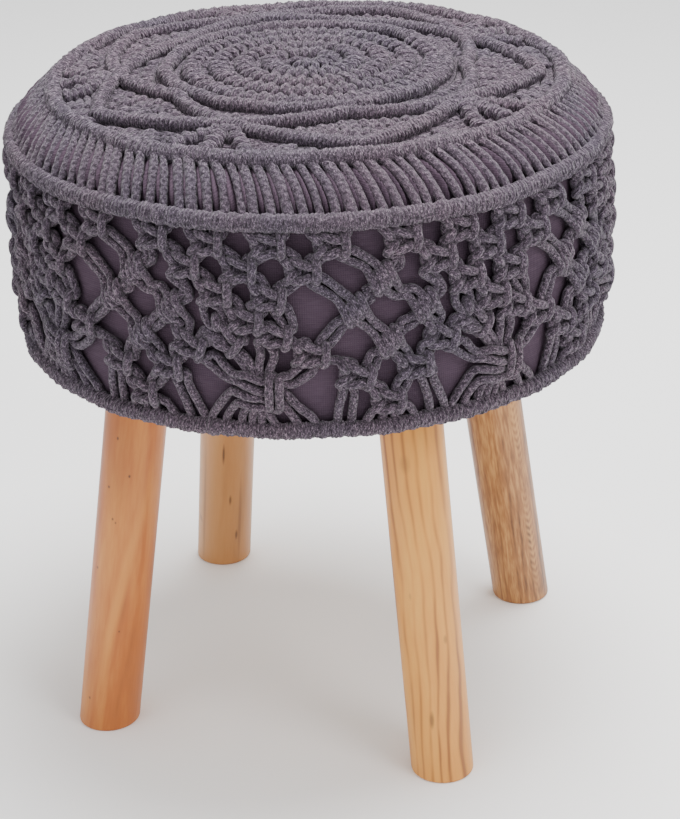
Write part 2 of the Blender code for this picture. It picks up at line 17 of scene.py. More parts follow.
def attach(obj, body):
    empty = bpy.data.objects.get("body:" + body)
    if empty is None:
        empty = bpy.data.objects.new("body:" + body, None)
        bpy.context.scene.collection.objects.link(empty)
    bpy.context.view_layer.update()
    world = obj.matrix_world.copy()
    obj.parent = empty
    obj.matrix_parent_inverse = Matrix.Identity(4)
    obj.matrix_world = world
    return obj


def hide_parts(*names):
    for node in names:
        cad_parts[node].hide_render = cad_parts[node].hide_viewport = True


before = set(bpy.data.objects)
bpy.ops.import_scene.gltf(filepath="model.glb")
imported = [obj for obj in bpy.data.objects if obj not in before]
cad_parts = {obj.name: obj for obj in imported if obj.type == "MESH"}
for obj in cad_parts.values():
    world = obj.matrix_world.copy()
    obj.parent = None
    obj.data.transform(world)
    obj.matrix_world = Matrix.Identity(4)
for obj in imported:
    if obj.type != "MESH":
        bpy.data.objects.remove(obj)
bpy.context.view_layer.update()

MM = 0.001
SEED = 7
UP = np.array([0.0, 0.0, 1.0])

# -------- sizes

# Radius and height of the lining's turned profile, from the edge of the board, round the side,
# to the domed top
LINING = (
    (0.1544, 0.2464), (0.1650, 0.2464), (0.1688, 0.2486), (0.1700, 0.2540), (0.1710, 0.2630),
    (0.1720, 0.2760), (0.1730, 0.2940), (0.1734, 0.3140), (0.1728, 0.3340), (0.1715, 0.3500),
    (0.1706, 0.3620), (0.1700, 0.3710), (0.1684, 0.3785), (0.1650, 0.3833), (0.1610, 0.3872),
    (0.1560, 0.3912), (0.1500, 0.3930), (0.1440, 0.3935),
)
LINING_TURNS = 960
DOME = 7.5  # how much higher the middle of the seat is than its rim, mm
DOME_RADIUS = 144.5
# Hollow under the pad, for the board
RECESS_RADIUS = 0.1544
RECESS_TOP = 0.2634

# Legs
LEG_RADIUS = 0.019
LEG_FOOT_RADIUS = 0.155
LEG_TOP_RADIUS = 0.116
LEG_TOP = 0.2477
LEG_CHAMFER = 0.0015
LEG_CHAMFER_PARTS = 3
LEG_SIDES = 64
LEG_SPARE = 2 * LEG_RADIUS  # sawn off at each end
LEG_CREASE = math.radians(45)  # sharper edges are chamfered, and not shaded smooth
LEG_ANGLES = {
    "leg_front_left": -62.4,
    "leg_front_right": 27.6,
    "leg_back_right": 117.6,
    "leg_back_left": -152.4,
}

# Cord
CORD = 2.53  # its half thickness on the wall, mm
CORD_SIDES = 9
CORD_STEP = 1.75
CORD_SWELL = 0.05  # how much its thickness varies along it
ROUGHNESS = 0.026  # how uneven every cord's surface is, against its half thickness
WALL_ROUND = 184.5  # radius at which s is measured, mm
HANG = 2.6  # the net hangs this much lower than its table says, mm
REACH_FROM = 276.0  # below this height the cords stretch down to the bottom ring
REACH_OVER = 22.0  # over so many mm
REACH = 2.7  # and so far
REPEATS = 8
PITCH = 360 / REPEATS
STAR_LINE = -9.0  # angle of the first star knot
TOP_KNOTS = ("A1", "A2", "A3", "A4")
IN_RING = (371.5, 1.2)  # height and depth at which a cord comes out of the shoulder ring
UNDER_RING = (367.6, 2.8)  # and where it lies just under the ring
STARTS_HIGH = 366.5  # a knot that starts above this is tied straight to the ring
TO_SECOND = 0.4  # how far it comes out on the way from the knot's first point to its second
KNOT_STRAY = (0.7, 0.6, 3.5)  # how far knots stray right and up, in mm, and turn, in degrees
FRONT_STRAY = 0.35  # the front repeat strays this much as far


def on_seat(angle, radius, height):
    """The place at this angle round the seat, in degrees from the front."""
    turn = math.radians(angle)
    return Vector((radius * math.sin(turn), -radius * math.cos(turn), height))


def round_seat(radius, angle, height):
    """Places at these angles round the seat, in radians from the front, one a row."""
    return np.stack([radius * np.sin(angle), -radius * np.cos(angle), height + 0 * angle], 1)


# -------- smooth lines and tubes

SMOOTH_PARTS = 12  # of the line between two control points
PLACE_SHIFT = 0.613  # metres from one cord to the next in the finish, so that no two match


def smooth_line(controls, step):
    """Even points on the smooth line through the control points."""
    points = np.asarray(controls, float)
    ends = np.vstack([2 * points[0] - points[1], points, 2 * points[-1] - points[-2]])
    a, b, c, d = ends[:-3], ends[1:-2], ends[2:-1], ends[3:]
    ab, bc, cd = [
        np.sqrt(np.linalg.norm(step, axis=1))[:, None] + 1e-9 for step in (b - a, c - b, d - c)
    ]
    leave = ((b - a) / ab - (c - a) / (ab + bc) + (c - b) / bc) * bc
    arrive = ((c - b) / bc - (d - b) / (bc + cd) + (d - c) / cd) * bc
    parts = []
    for t in np.linspace(0, 1, SMOOTH_PARTS, endpoint=False):
        parts.append(
            (2 * t**3 - 3 * t**2 + 1) * b
            + (t**3 - 2 * t**2 + t) * leave
            + (3 * t**2 - 2 * t**3) * c
            + (t**3 - t**2) * arrive
        )
    dense = np.vstack([np.stack(parts, 1).reshape(-1, points.shape[1]), points[-1:]])
    return even(dense, step)


def lengths(points):
    """The length of the line up to each point."""
    steps = np.linalg.norm(np.diff(points, axis=0), axis=1)
    return np.concatenate([[0], np.cumsum(steps)])


def read_off(wanted, along, rows):
    """The rows that belong to places along a line, read off at the wanted places."""
    return np.stack([np.interp(wanted, along, column) for column in rows.T], 1)


def even(points, step):
    """The line again, with its points about a step apart."""
    along = lengths(points)
    count = max(3, int(round(along[-1] / step)) + 1)
    return read_off(np.linspace(0, along[-1], count), along, points)


def unit(vectors):
    """The vectors, each of length one."""
    return vectors / (np.linalg.norm(vectors, axis=-1, keepdims=True) + 1e-12)


def directions(points, closed=False):
    """The line's direction at each point."""
    if closed:
        return unit(np.roll(points, -1, 0) - np.roll(points, 1, 0))
    return unit(np.gradient(points, axis=0))


def untwisted(points, tangents, first):
    """Normals carried along the line without twist."""
    normals = np.empty_like(points)
    normal = first - tangents[0] * np.dot(first, tangents[0])
    normals[0] = normal / np.linalg.norm(normal)
    for i in range(1, len(points)):
        normal = normals[i - 1] - tangents[i] * np.dot(normals[i - 1], tangents[i])
        normals[i] = normal / np.linalg.norm(normal)
    return normals


def linked(name, data):
    """A new object of this mesh, camera or light, in the scene."""
    made = bpy.data.objects.new(name, data)
    bpy.context.scene.collection.objects.link(made)
    return made


def smooth_piece(name, points, faces):
    mesh = bpy.data.meshes.new(name)
    mesh.from_pydata(points.tolist(), [], faces)
    mesh.shade_smooth()
    return linked(name, mesh)


class Skein:
    """Gathers cords and makes one piece of them."""

    def __init__(self, chance):
        self.chance = chance
        self.points = []
        self.places = []
        self.quads = []
        self.caps = []
        self.count = 0
        self.cords = 0

    def add(self, line, normals, half_out, half_across, sides=CORD_SIDES, closed=False):
        """A tube round the line (metres). The halves are its half sizes along the normals and across."""
        tangents = directions(line, closed)
        across = unit(np.cross(tangents, normals))
        out = np.cross(across, tangents)
        count = len(line)
        row = np.arange(sides)
        turns = row / sides * 2 * math.pi
        cosines, sines = np.cos(turns)[:, None], np.sin(turns)[:, None]
        half_out = np.broadcast_to(half_out, count)[:, None, None]
        half_across = np.broadcast_to(half_across, count)[:, None, None]
        uneven = self.chance.normal(0, 1, (count, sides, 1))
        uneven = 1 + ROUGHNESS * (uneven + np.roll(uneven, 1, 0) + 0.6 * np.roll(uneven, 1, 1))
        rings = line[:, None] + out[:, None] * cosines * half_out * uneven
        rings = rings + across[:, None] * sines * half_across * uneven
        self.cords += 1
        along = lengths(line)[:, None, None] + self.cords * PLACE_SHIFT
        along = np.broadcast_to(along, (count, sides, 1))
        place = np.concatenate([half_across * cosines, half_across * sines, along], 2)
        base = self.count
        this = base + np.arange(count if closed else count - 1)[:, None] * sides
        after = this + sides
        if closed:
            after[-1] = base
        beside = (row + 1) % sides
        quads = np.stack([this + row, this + beside, after + beside, after + row], -1)
        self.quads.append(quads.reshape(-1, 4))
        if not closed:
            last = base + (count - 1) * sides
            self.caps += [(base + row)[::-1].tolist(), (last + row).tolist()]
        self.points.append(rings.reshape(-1, 3))
        self.places.append(place.reshape(-1, 3))
        self.count += count * sides

    def piece(self, name):
        faces = np.concatenate(self.quads).tolist() + self.caps
        made = smooth_piece(name, np.concatenate(self.points), faces)
        place = made.data.attributes.new("cord_place", "FLOAT_VECTOR", "POINT")
        place.data.foreach_set("vector", np.concatenate(self.places).ravel())
        return made


# -------- the knotted wall

# Paths of the cords through the knots, in mm from the knot's middle: right, up, out.
# Left and right cords wrap the two middle ones of a square knot.
SQUARE_LEFT = (
    (-12.5, 7.4, 4.0), (-10.2, 5.6, 6.8), (-8.0, 3.2, 6.8), (-6.0, 0.8, 3.2), (-2.0, -0.4, 1.2),
    (3.0, 0.8, 1.4), (5.6, 4.2, 3.6), (6.9, 6.4, 6.6), (7.4, 3.4, 8.5), (7.4, -2.8, 8.5),
    (6.8, -5.8, 6.4), (4.4, -4.6, 3.0), (0.0, -1.8, 1.2), (-3.4, -0.9, 3.2), (-5.4, -1.9, 6.4),
    (-7.6, -4.0, 6.9), (-9.8, -6.8, 4.8),
)
SQUARE_MIDDLE_LEFT = (
    (-3.4, 6.6, 3.8), (-2.4, 3.6, 3.4), (-2.2, 0.0, 3.2), (-2.2, -3.6, 3.4), (-2.8, -6.6, 3.6),
)
SQUARE_MIDDLE_RIGHT = (
    (3.4, 6.4, 3.8), (2.5, 3.6, 3.4), (2.3, 0.0, 3.2), (2.2, -3.0, 3.4), (2.4, -5.6, 3.6),
)
SQUARE_RIGHT = (
    (9.4, 5.8, 3.8), (7.6, 4.2, 4.2), (4.8, 2.9, 6.6), (1.0, 3.8, 7.4), (-3.0, 5.2, 7.2),
    (-6.2, 5.5, 5.4), (-8.2, 3.0, 4.0), (-8.5, 0.0, 3.6), (-7.4, -3.4, 4.0), (-5.0, -5.5, 6.0),
    (-1.5, -4.8, 7.4), (2.5, -3.3, 7.2), (5.2, -2.9, 6.0), (8.0, -2.6, 4.0), (10.6, -3.4, 4.2),
)
# Two cords of a hitched crossing come in from the upper left, make three fat turns round the two
# that run straight from the upper right to the lower left, and leave to the lower right.
HITCH_LOW = (
    (-10.4, 6.8, 3.4), (-8.0, 3.6, 4.4), (-6.3, 0.2, 6.2), (-4.5, -3.8, 7.4), (-2.8, -7.4, 5.6),
    (-1.8, -8.0, 2.6), (-2.2, -3.0, 1.0), (-3.4, 2.4, 2.2), (-3.4, 3.6, 4.8), (-2.5, 1.2, 7.2),
    (-1.1, -2.0, 7.6), (0.7, -5.4, 6.0), (3.2, -8.0, 4.2), (7.0, -10.6, 3.4),
)
HITCH_HIGH = (
    (-6.8, 10.6, 3.4), (-3.6, 8.2, 4.2), (-0.9, 5.4, 6.4), (1.1, 1.8, 7.7), (2.8, -2.0, 6.2),
    (3.6, -3.2, 3.0), (3.2, 2.0, 1.0), (2.2, 7.4, 2.2), (2.3, 8.4, 4.8), (3.3, 6.2, 7.2),
    (4.6, 3.0, 7.6), (6.4, -0.6, 5.8), (8.2, -3.8, 4.2), (10.6, -7.2, 3.4),
)
HELD_HIGH = (
    (7.4, 11.0, 3.4), (4.4, 6.2, 4.2), (0.4, 0.6, 4.6), (-5.0, -3.4, 4.2), (-10.6, -6.4, 3.4),
)
HELD_LOW = (
    (11.0, 7.2, 3.4), (5.6, 3.4, 3.0), (0.0, -0.4, 2.2), (-3.8, -5.4, 3.0), (-7.2, -10.4, 3.4),
)
# Where a knot's four cords come in: the side, and the first or second of the pair there. A kind's
# paths are in this order. In a square knot a cord goes out on the side that it came in on, and in a
# hitched crossing on the other.
CAME_IN = (("left", 0), ("left", 1), ("right", 0), ("right", 1))
PATHS = {
    "square": (SQUARE_LEFT, SQUARE_MIDDLE_LEFT, SQUARE_MIDDLE_RIGHT, SQUARE_RIGHT),
    "hitch": (HITCH_LOW, HITCH_HIGH, HELD_HIGH, HELD_LOW),
}
OTHER_SIDE = {"left": "right", "right": "left"}

# One repeat. The angle is from the star's line. It and the turn are in degrees, and the height
# is in mm.
Knot = namedtuple("Knot", "name angle height turn size kind", defaults=(0, 1.0, "square"))
KNOTS = (
    Knot("A1", -19.0, 361.0), Knot("A2", -8.7, 361.0), Knot("A3", 2.2, 361.0),
    Knot("A4", 13.2, 361.0), Knot("B1", -13.0, 347.5), Knot("B2", -3.0, 347.5, -3),
    Knot("B3", 8.2, 347.5), Knot("C1", -7.3, 334.0), Knot("C2", 2.0, 332.0, -8),
    Knot("D1", -2.0, 318.5, -5), Knot("K1", 22.0, 340.0, kind="hitch"),
    Knot("K2", 16.9, 323.0, kind="hitch"), Knot("K3", 29.5, 321.0, kind="hitch"),
    Knot("K4", 22.9, 303.0, kind="hitch"), Knot("E1", -12.5, 301.5, -22),
    Knot("E2", -5.8, 307.0, -38), Knot("E3", 3.0, 310.0, -14, 0.95), Knot("E4", 9.3, 299.5, -6),
    Knot("F1", -17.2, 286.5), Knot("F2", 17.0, 284.5, -12), Knot("G1", 22.6, 268.5, -6, 0.95),
)
# Pairs of cords between knots. The step is how many repeats further round the lower knot is.
Pair = namedtuple("Pair", "upper leaves lower enters step", defaults=(0,))
PAIRS = (
    Pair("A1", "left", "K1", "right", -1), Pair("A1", "right", "B1", "left"),
    Pair("A2", "left", "B1", "right"), Pair("A2", "right", "B2", "left"),
    Pair("A3", "left", "B2", "right"), Pair("A3", "right", "B3", "left"),
    Pair("A4", "left", "B3", "right"), Pair("A4", "right", "K1", "left"),
    Pair("B1", "left", "K3", "right", -1), Pair("B1", "right", "C1", "left"),
    Pair("B2", "left", "C1", "right"), Pair("B2", "right", "C2", "left"),
    Pair("B3", "left", "C2", "right"), Pair("B3", "right", "K2", "left"),
    Pair("C1", "left", "E2", "left"), Pair("C1", "right", "D1", "left"),
    Pair("C2", "left", "D1", "right"), Pair("C2", "right", "E3", "right"),
    Pair("D1", "left", "E2", "right"), Pair("D1", "right", "E3", "left"),
    Pair("K1", "left", "K2", "right"), Pair("K1", "right", "K3", "left"),
    Pair("K2", "left", "E4", "right"), Pair("K2", "right", "K4", "left"),
    Pair("K3", "left", "K4", "right"), Pair("K3", "right", "E1", "left", 1),
    Pair("K4", "left", "F2", "right"), Pair("K4", "right", "F1", "left", 1),
    Pair("E2", "left", "E1", "right"), Pair("E3", "right", "E4", "left"),
    Pair("E1", "left", "F1", "right"), Pair("E4", "right", "F2", "left"),
    Pair("F2", "right", "G1", "left"), Pair("F1", "left", "G1", "right", -1),
)
# Where a cord leaves a knot, and the next points of its way, in mm from the star's line
Way = namedtuple("Way", "knot side index points")
SLACKS = (  # slack cords that don't run straight to their next knot
    Way("C1", "left", 0, (
        (-26, 331, 5.0), (-31.5, 325, 4.4), (-30.5, 318, 4.4), (-26, 313.5, 5.2),
    )),
    Way("C1", "left", 1, ((-22, 324, 3.4), (-20, 317, 3.4))),
    Way("E2", "left", 0, ((-17.5, 303, 5.6), (-25.5, 309.5, 5.2), (-31, 311.5, 4.6))),
    Way("E2", "left", 1, ((-16, 299.5, 4.0), (-22, 303, 4.2), (-28, 306, 3.6))),
)
TAILS = (  # the star knot, and what runs down to the bottom ring: the rest of each cord's way
    Way("E1", "right", 1, (
        (-27.4, 297, 3.8), (-16, 286.5, 5.0), (-8, 287.0, 7.8), (-1, 284.4, 8.2), (3.6, 282.8, 6.4),
        (8, 281, 4.2), (11.5, 277, 3.8), (15, 273.5, 4.0), (21, 267.5, 3.6), (29, 260.5, 3.4),
        (31, 254, 1.6),
    )),
    Way("E1", "right", 0, (
        (-35.4, 294, 3.6), (-21, 284.0, 4.2), (-12.5, 282.4, 7.2), (-6, 280.0, 8.2),
        (0, 277.4, 7.9), (4, 276, 5.8), (9, 272.5, 4.2), (13, 268, 3.8), (17, 262.5, 3.6),
        (20, 257.5, 3.2), (20.5, 253.5, 1.6),
    )),
    Way("E4", "left", 0, (
        (27, 297.5, 3.8), (16, 286.5, 4.6), (11.4, 286.5, 7.6), (10.8, 281, 9.6), (10.6, 272, 9.4),
        (9.6, 267.0, 7.0), (6.0, 266.6, 4.6), (1.8, 268.2, 6.8), (-5.5, 268.6, 8.0),
        (-12.5, 270.2, 6.8), (-16.5, 267.5, 4.2), (-21, 262.0, 3.5), (-23, 257.0, 3.2),
        (-23.5, 253.5, 1.6),
    )),
    Way("E4", "left", 1, (
        (31, 291, 3.6), (16.5, 280.5, 3.8), (10.0, 284.0, 4.6), (5.8, 287.2, 7.0), (5.2, 282, 9.8),
        (5.0, 273, 9.8), (4.6, 268.0, 7.4), (3.2, 270.6, 4.4), (0, 273.4, 7.0), (-6, 274.0, 8.0),
        (-12.5, 275.6, 7.0), (-17.5, 275.5, 4.6), (-24, 269, 3.6), (-30.5, 261, 3.4),
        (-32.5, 257, 3.0), (-33, 253.5, 1.6),
    )),
    Way("E2", "right", 0, (
        (-15.5, 299, 3.8), (-8.5, 290.5, 4.4), (-6, 284, 3.8), (-5.5, 277, 3.8), (-7, 270, 3.8),
        (-11.5, 264, 3.6), (-13.5, 257.5, 3.2), (-13.5, 253.5, 1.6),
    )),
    Way("E2", "right", 1, (
        (-10.5, 299, 4.0), (-3.4, 288, 4.6), (-2, 281, 3.8), (-2, 272, 3.8), (-5.5, 264.5, 3.8),
        (-7.0, 257.5, 3.2), (-7.0, 253.5, 1.6),
    )),
    Way("E3", "left", 0, (
        (0.5, 301, 4.0), (-0.9, 290, 4.6), (0.5, 284, 3.8), (0.5, 274, 3.8), (-0.8, 264.5, 3.8),
        (-1.2, 257.5, 3.2), (-1.2, 253.5, 1.6),
    )),
    Way("E3", "left", 1, (
        (8.4, 300, 3.8), (5.2, 289.5, 4.6), (3.5, 284, 3.8), (3.2, 274, 3.8), (2.8, 265.5, 3.8),
        (5.0, 260.5, 3.6), (6.6, 257, 3.2), (6.6, 253.5, 1.6),
    )),
    Way("F1", "right", 0, ((-52, 278, 3.6), (-47, 265, 3.4), (-44.5, 253.5, 1.6))),
    Way("F1", "right", 1, ((-44.5, 277, 3.8), (-38, 264, 3.4), (-33.5, 253.5, 1.6))),
    Way("F2", "left", 0, ((46.5, 277, 4.2), (44.0, 266, 3.4), (43.0, 253.5, 1.6))),
    Way("F2", "left", 1, ((53.0, 275, 3.6), (52.0, 266, 3.4), (51.0, 253.5, 1.6))),
    Way("G1", "left", 0, ((62.5, 261.5, 4.2), (60, 257.5, 3.4), (59.5, 253.5, 1.6))),
    Way("G1", "left", 1, ((70.5, 261, 3.6), (69, 257, 3.2), (68.5, 253.5, 1.6))),
    Way("G1", "right", 0, ((75.5, 261.5, 3.6), (78.0, 257, 3.2), (78.5, 253.5, 1.6))),
    Way("G1", "right", 1, ((84.5, 264, 4.2), (89.0, 258, 3.4), (90.0, 253.5, 1.6))),
)
DEGREE = math.radians(1) * WALL_ROUND  # mm along the wall in one degree

LINING_RADII, LINING_HEIGHTS = np.array(LINING[1:]).T


def wall_line(flat, turn):
    """Flat points (s, z, d), in mm, on the wall, and the outward direction at each."""
    angle = np.radians(turn) + flat[:, 0] / WALL_ROUND
    stretch = np.clip((REACH_FROM - flat[:, 1]) / REACH_OVER, 0, 1) * REACH
    height = (flat[:, 1] - HANG - stretch) * MM
    radius = np.interp(height, LINING_HEIGHTS, LINING_RADII) + flat[:, 2] * MM
    return round_seat(radius, angle, height), round_seat(1.0, angle, 0.0)


class Wall:
    """Follows every cord of the knotted wall from the shoulder ring to the bottom ring."""

    def __init__(self, chance):
        self.knots = {knot.name: knot for knot in KNOTS}
        self.next = {pair[:2]: pair[2:] for pair in PAIRS}
        self.slacks = {way[:3]: way.points for way in SLACKS}
        self.tails = {way[:3]: way.points for way in TAILS}
        self.shift = {}
        for repeat in range(REPEATS):
            amount = FRONT_STRAY if repeat == 0 else 1.0
            for knot in KNOTS:
                stray = [chance.normal(0, spread) for spread in KNOT_STRAY]
                self.shift[knot.name, repeat] = amount * np.array(stray)

    def through(self, name, repeat, came_in):
        """The cord's way through one knot, and where it goes out."""
        knot = self.knots[name]
        right, up, turn = self.shift[name, repeat % REPEATS]
        side, index = came_in
        if knot.kind == "hitch":
            side = OTHER_SIDE[side]
        tilt = math.radians(knot.turn + turn)
        path = np.array(PATHS[knot.kind][CAME_IN.index(came_in)])
        path = path * [knot.size, knot.size, 1.0]
        x = path[:, 0] * math.cos(tilt) - path[:, 1] * math.sin(tilt)
        z = path[:, 0] * math.sin(tilt) + path[:, 1] * math.cos(tilt)
        middle = (knot.angle + repeat * PITCH) * DEGREE + right
        flat = np.stack([middle + x, knot.height + up + z, path[:, 2]], 1)
        return flat.tolist(), (side, index)

    def cord(self, name, repeat, came_in):
        """The whole way of a cord that comes out of the shoulder ring into this knot."""
        path, goes_out = self.through(name, repeat, came_in)
        first, second = path[:2]
        way = [[first[0] * (1 - TO_SECOND) + second[0] * TO_SECOND, *IN_RING]]
        if first[1] <= STARTS_HIGH:
            way.append([first[0], *UNDER_RING])
        way += path
        while True:
            key = (name, *goes_out)
            middle = repeat * PITCH * DEGREE
            if key in self.tails:
                way += [[s + middle, z, d] for s, z, d in self.tails[key]]
                return np.array(way)
            way += [[s + middle, z, d] for s, z, d in self.slacks.get(key, ())]
            name, side, step = self.next[name, goes_out[0]]
            repeat += step
            path, goes_out = self.through(name, repeat, (side, goes_out[1]))
            way += path


def add_wall_cord(skein, way):
    """One cord of the wall, along its flat way, gently uneven in thickness."""
    line, out = wall_line(smooth_line(way, CORD_STEP), STAR_LINE)
    swell = np.convolve(skein.chance.normal(0, 1, len(line)), np.ones(5) / 5, "same")
    half = CORD * MM * (1 + CORD_SWELL * swell)
    skein.add(line, untwisted(line, directions(line), out[0]), half, half)


def wall_pieces(chance):
    """The knotted wall, as four pieces of two repeats each."""
    wall = Wall(chance)
    made = []
    for group in range(REPEATS // 2):
        skein = Skein(chance)
        for repeat in (2 * group, 2 * group + 1):
            for name, came_in in product(TOP_KNOTS, CAME_IN):
                add_wall_cord(skein, wall.cord(name, repeat, came_in))
        made.append(skein.piece(f"wall_cords_{group + 1}"))
    return made


# -------- rings and ropes

WRAP_POINTS = 8
WRAP_SIDES = 6
WRAP_STRAY = 0.07  # how far the turns of a wrap stray along it, in turns
WRAP_SWELL = 0.035  # how much they differ in size


def wrapped(skein, centre, size, pitch, closed=False, lump=0.0, lump_turns=2, slant=0.0):
    """A cord wound round a line. The size is its Size, and the pitch is in mm too."""
    half_wide, half_high, cord_out, cord_along = [value * MM for value in size]
    if closed:
        centre = np.vstack([centre, centre[:1]])
    along = lengths(centre)
    turns = lump_turns * max(1, int(round(along[-1] / (pitch * MM) / lump_turns)))
    steps = np.arange(turns * WRAP_POINTS + (0 if closed else 1)) / WRAP_POINTS
    every_turn = np.arange(turns + 2)
    wobble = skein.chance.normal(0, WRAP_STRAY, turns + 2)
    wobble[-1] = wobble[0]
    sizes = 1 + skein.chance.normal(0, WRAP_SWELL, turns + 2)
    sizes[turns] = sizes[0]
    phase = steps * 2 * math.pi
    where = steps + np.interp(steps, every_turn, wobble)
    place = np.clip(where + slant * np.cos(phase), 0, turns) / turns * along[-1]
    tangents = directions(centre)
    if closed:
        tangents = directions(centre[:-1], True)
        tangents = np.vstack([tangents, tangents[:1]])
    tangent = unit(read_off(place, along, tangents))
    side = unit(np.cross(tangent, UP))
    raised = np.cross(side, tangent)
    grow = np.interp(steps, every_turn, sizes)
    grow = grow * (1 - lump / 2 + lump * np.abs(np.sin(steps * math.pi / lump_turns)))
    out = side * np.cos(phase)[:, None] * half_wide
    out = out + raised * (np.sin(phase)[:, None] * half_high)
    line = read_off(place, along, centre) + out * grow[:, None]
    skein.add(line, unit(out), cord_out * grow, cord_along, sides=WRAP_SIDES, closed=closed)


CIRCLE_WAVES = (3, 5, 8, 13, 21)  # waves round a circle that isn't quite even


def circle(radius, height, count, chance=None, wave=0.0):
    """An even circle round the seat, of sizes in mm, gently uneven where it has a wave."""
    turn = np.arange(count) / count * 2 * math.pi
    drift = np.zeros(count)
    lift = np.zeros(count)
    if chance is not None:
        for times in CIRCLE_WAVES:
            drift += wave * chance.normal(0, 0.5) * np.sin(times * turn + chance.uniform(0, 6))
            lift += wave * chance.normal(0, 0.4) * np.sin(times * turn + chance.uniform(0, 6))
    return round_seat(radius * MM + drift, turn, height * MM + lift)


Size = namedtuple("Size", "half_wide half_high cord_out cord_along")  # of a wrapped rope, mm
Ring = namedtuple("Ring", "name radius height size pitch")
RINGS = (
    Ring("bottom_ring", 174.1, 248.9, Size(3.2, 3.6, 1.6, 1.9), 2.14),
    Ring("shoulder_ring", 175.8, 370.9, Size(3.2, 4.1, 1.6, 1.9), 2.157),
    Ring("rim_ring", 150.4, 396.8, Size(3.6, 3.9, 1.8, 2.0), 1.845),
)
RING_POINTS = 720
RING_WAVE = 0.0006
RING_LUMP = 0.16
RING_LUMP_TURNS = 4  # the four wraps of each shoulder cord bulge together


def ring_pieces(chance):
    made = []
    for ring in RINGS:
        skein = Skein(chance)
        line = circle(ring.radius, ring.height, RING_POINTS, chance, RING_WAVE)
        wrapped(skein, line, ring.size, ring.pitch, True, RING_LUMP, RING_LUMP_TURNS)
        made.append(skein.piece(ring.name))
    return made


# -------- shoulder

RIBS = 128
RIB_LEAN = 5.0  # how far it turns round the seat on its way down, in degrees
RIB_HALF = 3.0  # its half width, mm
RIB_SIDES = 12
RIB_STEP = 1.9
RIB_FLAT = 0.86  # its thickness against its width
RIB_THIN = 0.16  # how much narrower its ends are than its middle
RIB_SLOPE = math.radians(45)  # of the shoulder that it lies on
RIB_RADIUS = 0.17  # about where the middle of a shoulder cord lies
# How much the cords differ: where they start and how far they sag sideways, in degrees, how far
# they rise, in mm, and their lean and width, as shares
RIB_SHIFT = 0.26
RIB_SAG = 0.26
RIB_RISE = 0.25
RIB_LEAN_STRAY = 0.09
RIB_WIDTH_STRAY = 0.09
# Radius and height of a shoulder cord's middle from the rim ring down to the shoulder ring, mm
RIB_LINE = (
    (150.0, 397.0), (153.5, 396.2), (158.0, 392.8), (163.5, 388.0), (168.3, 382.8), (172.3, 377.4),
    (175.0, 372.6), (175.8, 369.5),
)


def rib_turn(share):
    """How far a shoulder cord has turned on its way down, in degrees: fast, then slower."""
    return RIB_LEAN * (1.8 * share - 0.8 * share**2 - 0.5)


def shoulder_piece(chance):
    skein = Skein(chance)
    profile = smooth_line(RIB_LINE, RIB_STEP)
    share = np.linspace(0, 1, len(profile))
    arch = np.sin(math.pi * share)
    for rib in range(RIBS):
        shift = chance.normal(0, RIB_SHIFT)
        lean = 1 + chance.normal(0, RIB_LEAN_STRAY)
        sag = chance.normal(0, RIB_SAG)
        rise = chance.normal(0, RIB_RISE)
        angle = rib * 360 / RIBS + shift + lean * rib_turn(share)
        angle = np.radians(angle + sag * arch)
        radius = profile[:, 0] * MM * (1 + rise * MM / RIB_RADIUS * arch)
        line = round_seat(radius, angle, profile[:, 1] * MM)
        out = round_seat(math.cos(RIB_SLOPE), angle, math.sin(RIB_SLOPE))
        half = RIB_HALF * MM * (1 + RIB_WIDTH_STRAY * chance.normal())
        half = half * (1 - RIB_THIN + RIB_THIN * arch)
        skein.add(line, out, half * RIB_FLAT, half, sides=RIB_SIDES)
    return skein.piece("shoulder_cords")


# -------- crown

CROWN_HEIGHT = 397.3  # of a rope's middle at the edge of the crown, mm
CROWN_STEP = 2.5
# Five diamonds of rope round the crown's ring. Neighbours share the crossing that follows each.
Diamond = namedtuple("Diamond", "outer_angle inner_angle inner_radius crossing")
DIAMONDS = (
    Diamond(13.5, 14.0, 92.5, 51.0),
    Diamond(86.0, 88.0, 93.0, 122.0),
    Diamond(158.0, 160.0, 91.5, 194.0),
    Diamond(231.0, 232.0, 93.0, 274.0),
    Diamond(301.5, 306.0, 89.5, 338.0),
)
CROSSING_RADIUS = 110.0
OUTER_RADIUS = 137.5
RING_RADIUS = 82.5
CROWN_RING = Size(3.2, 3.2, 1.7, 2.0)
CROWN_RING_PITCH = 2.3
CROWN_RING_WAVE = 0.0005
ROPE = Size(3.0, 3.1, 1.7, 2.0)
ROPE_PITCH = 2.5
ROPE_LIFT = 1.0
ROPE_ARCH = 0.5  # every other rope rises over its neighbours
ROPE_BULGES = (0.0, -1.2, -1.2, 0.0)  # outwards, of a diamond's four ropes
ROPE_LUMP = 0.15
ROPE_POINTS = 5  # from one corner of a diamond to the next
ROPE_LUMP_TURNS = 4
LUMPS = Size(2.3, 1.5, 2.3, 3.4)  # rows of small knots
LUMP_PITCH = 6.2
LUMP_SINK = 3.2  # how far they lie under the ropes, mm
LUMP_SLANT = 0.25
# How far the wraps bulge: in a diamond, along the rim, by the crown's ring, and in a berry
DIAMOND_LUMP = 0.45
EDGE_LUMP = 0.4
INNER_LUMP = 0.5
BERRY_LUMP = 0.4
BERRY_SINK = 0.2  # how far berries lie under the ropes, mm
DIAMOND_ROWS = (0.64, 0.38, 0.12)  # sizes of the rows in a diamond, against the diamond's
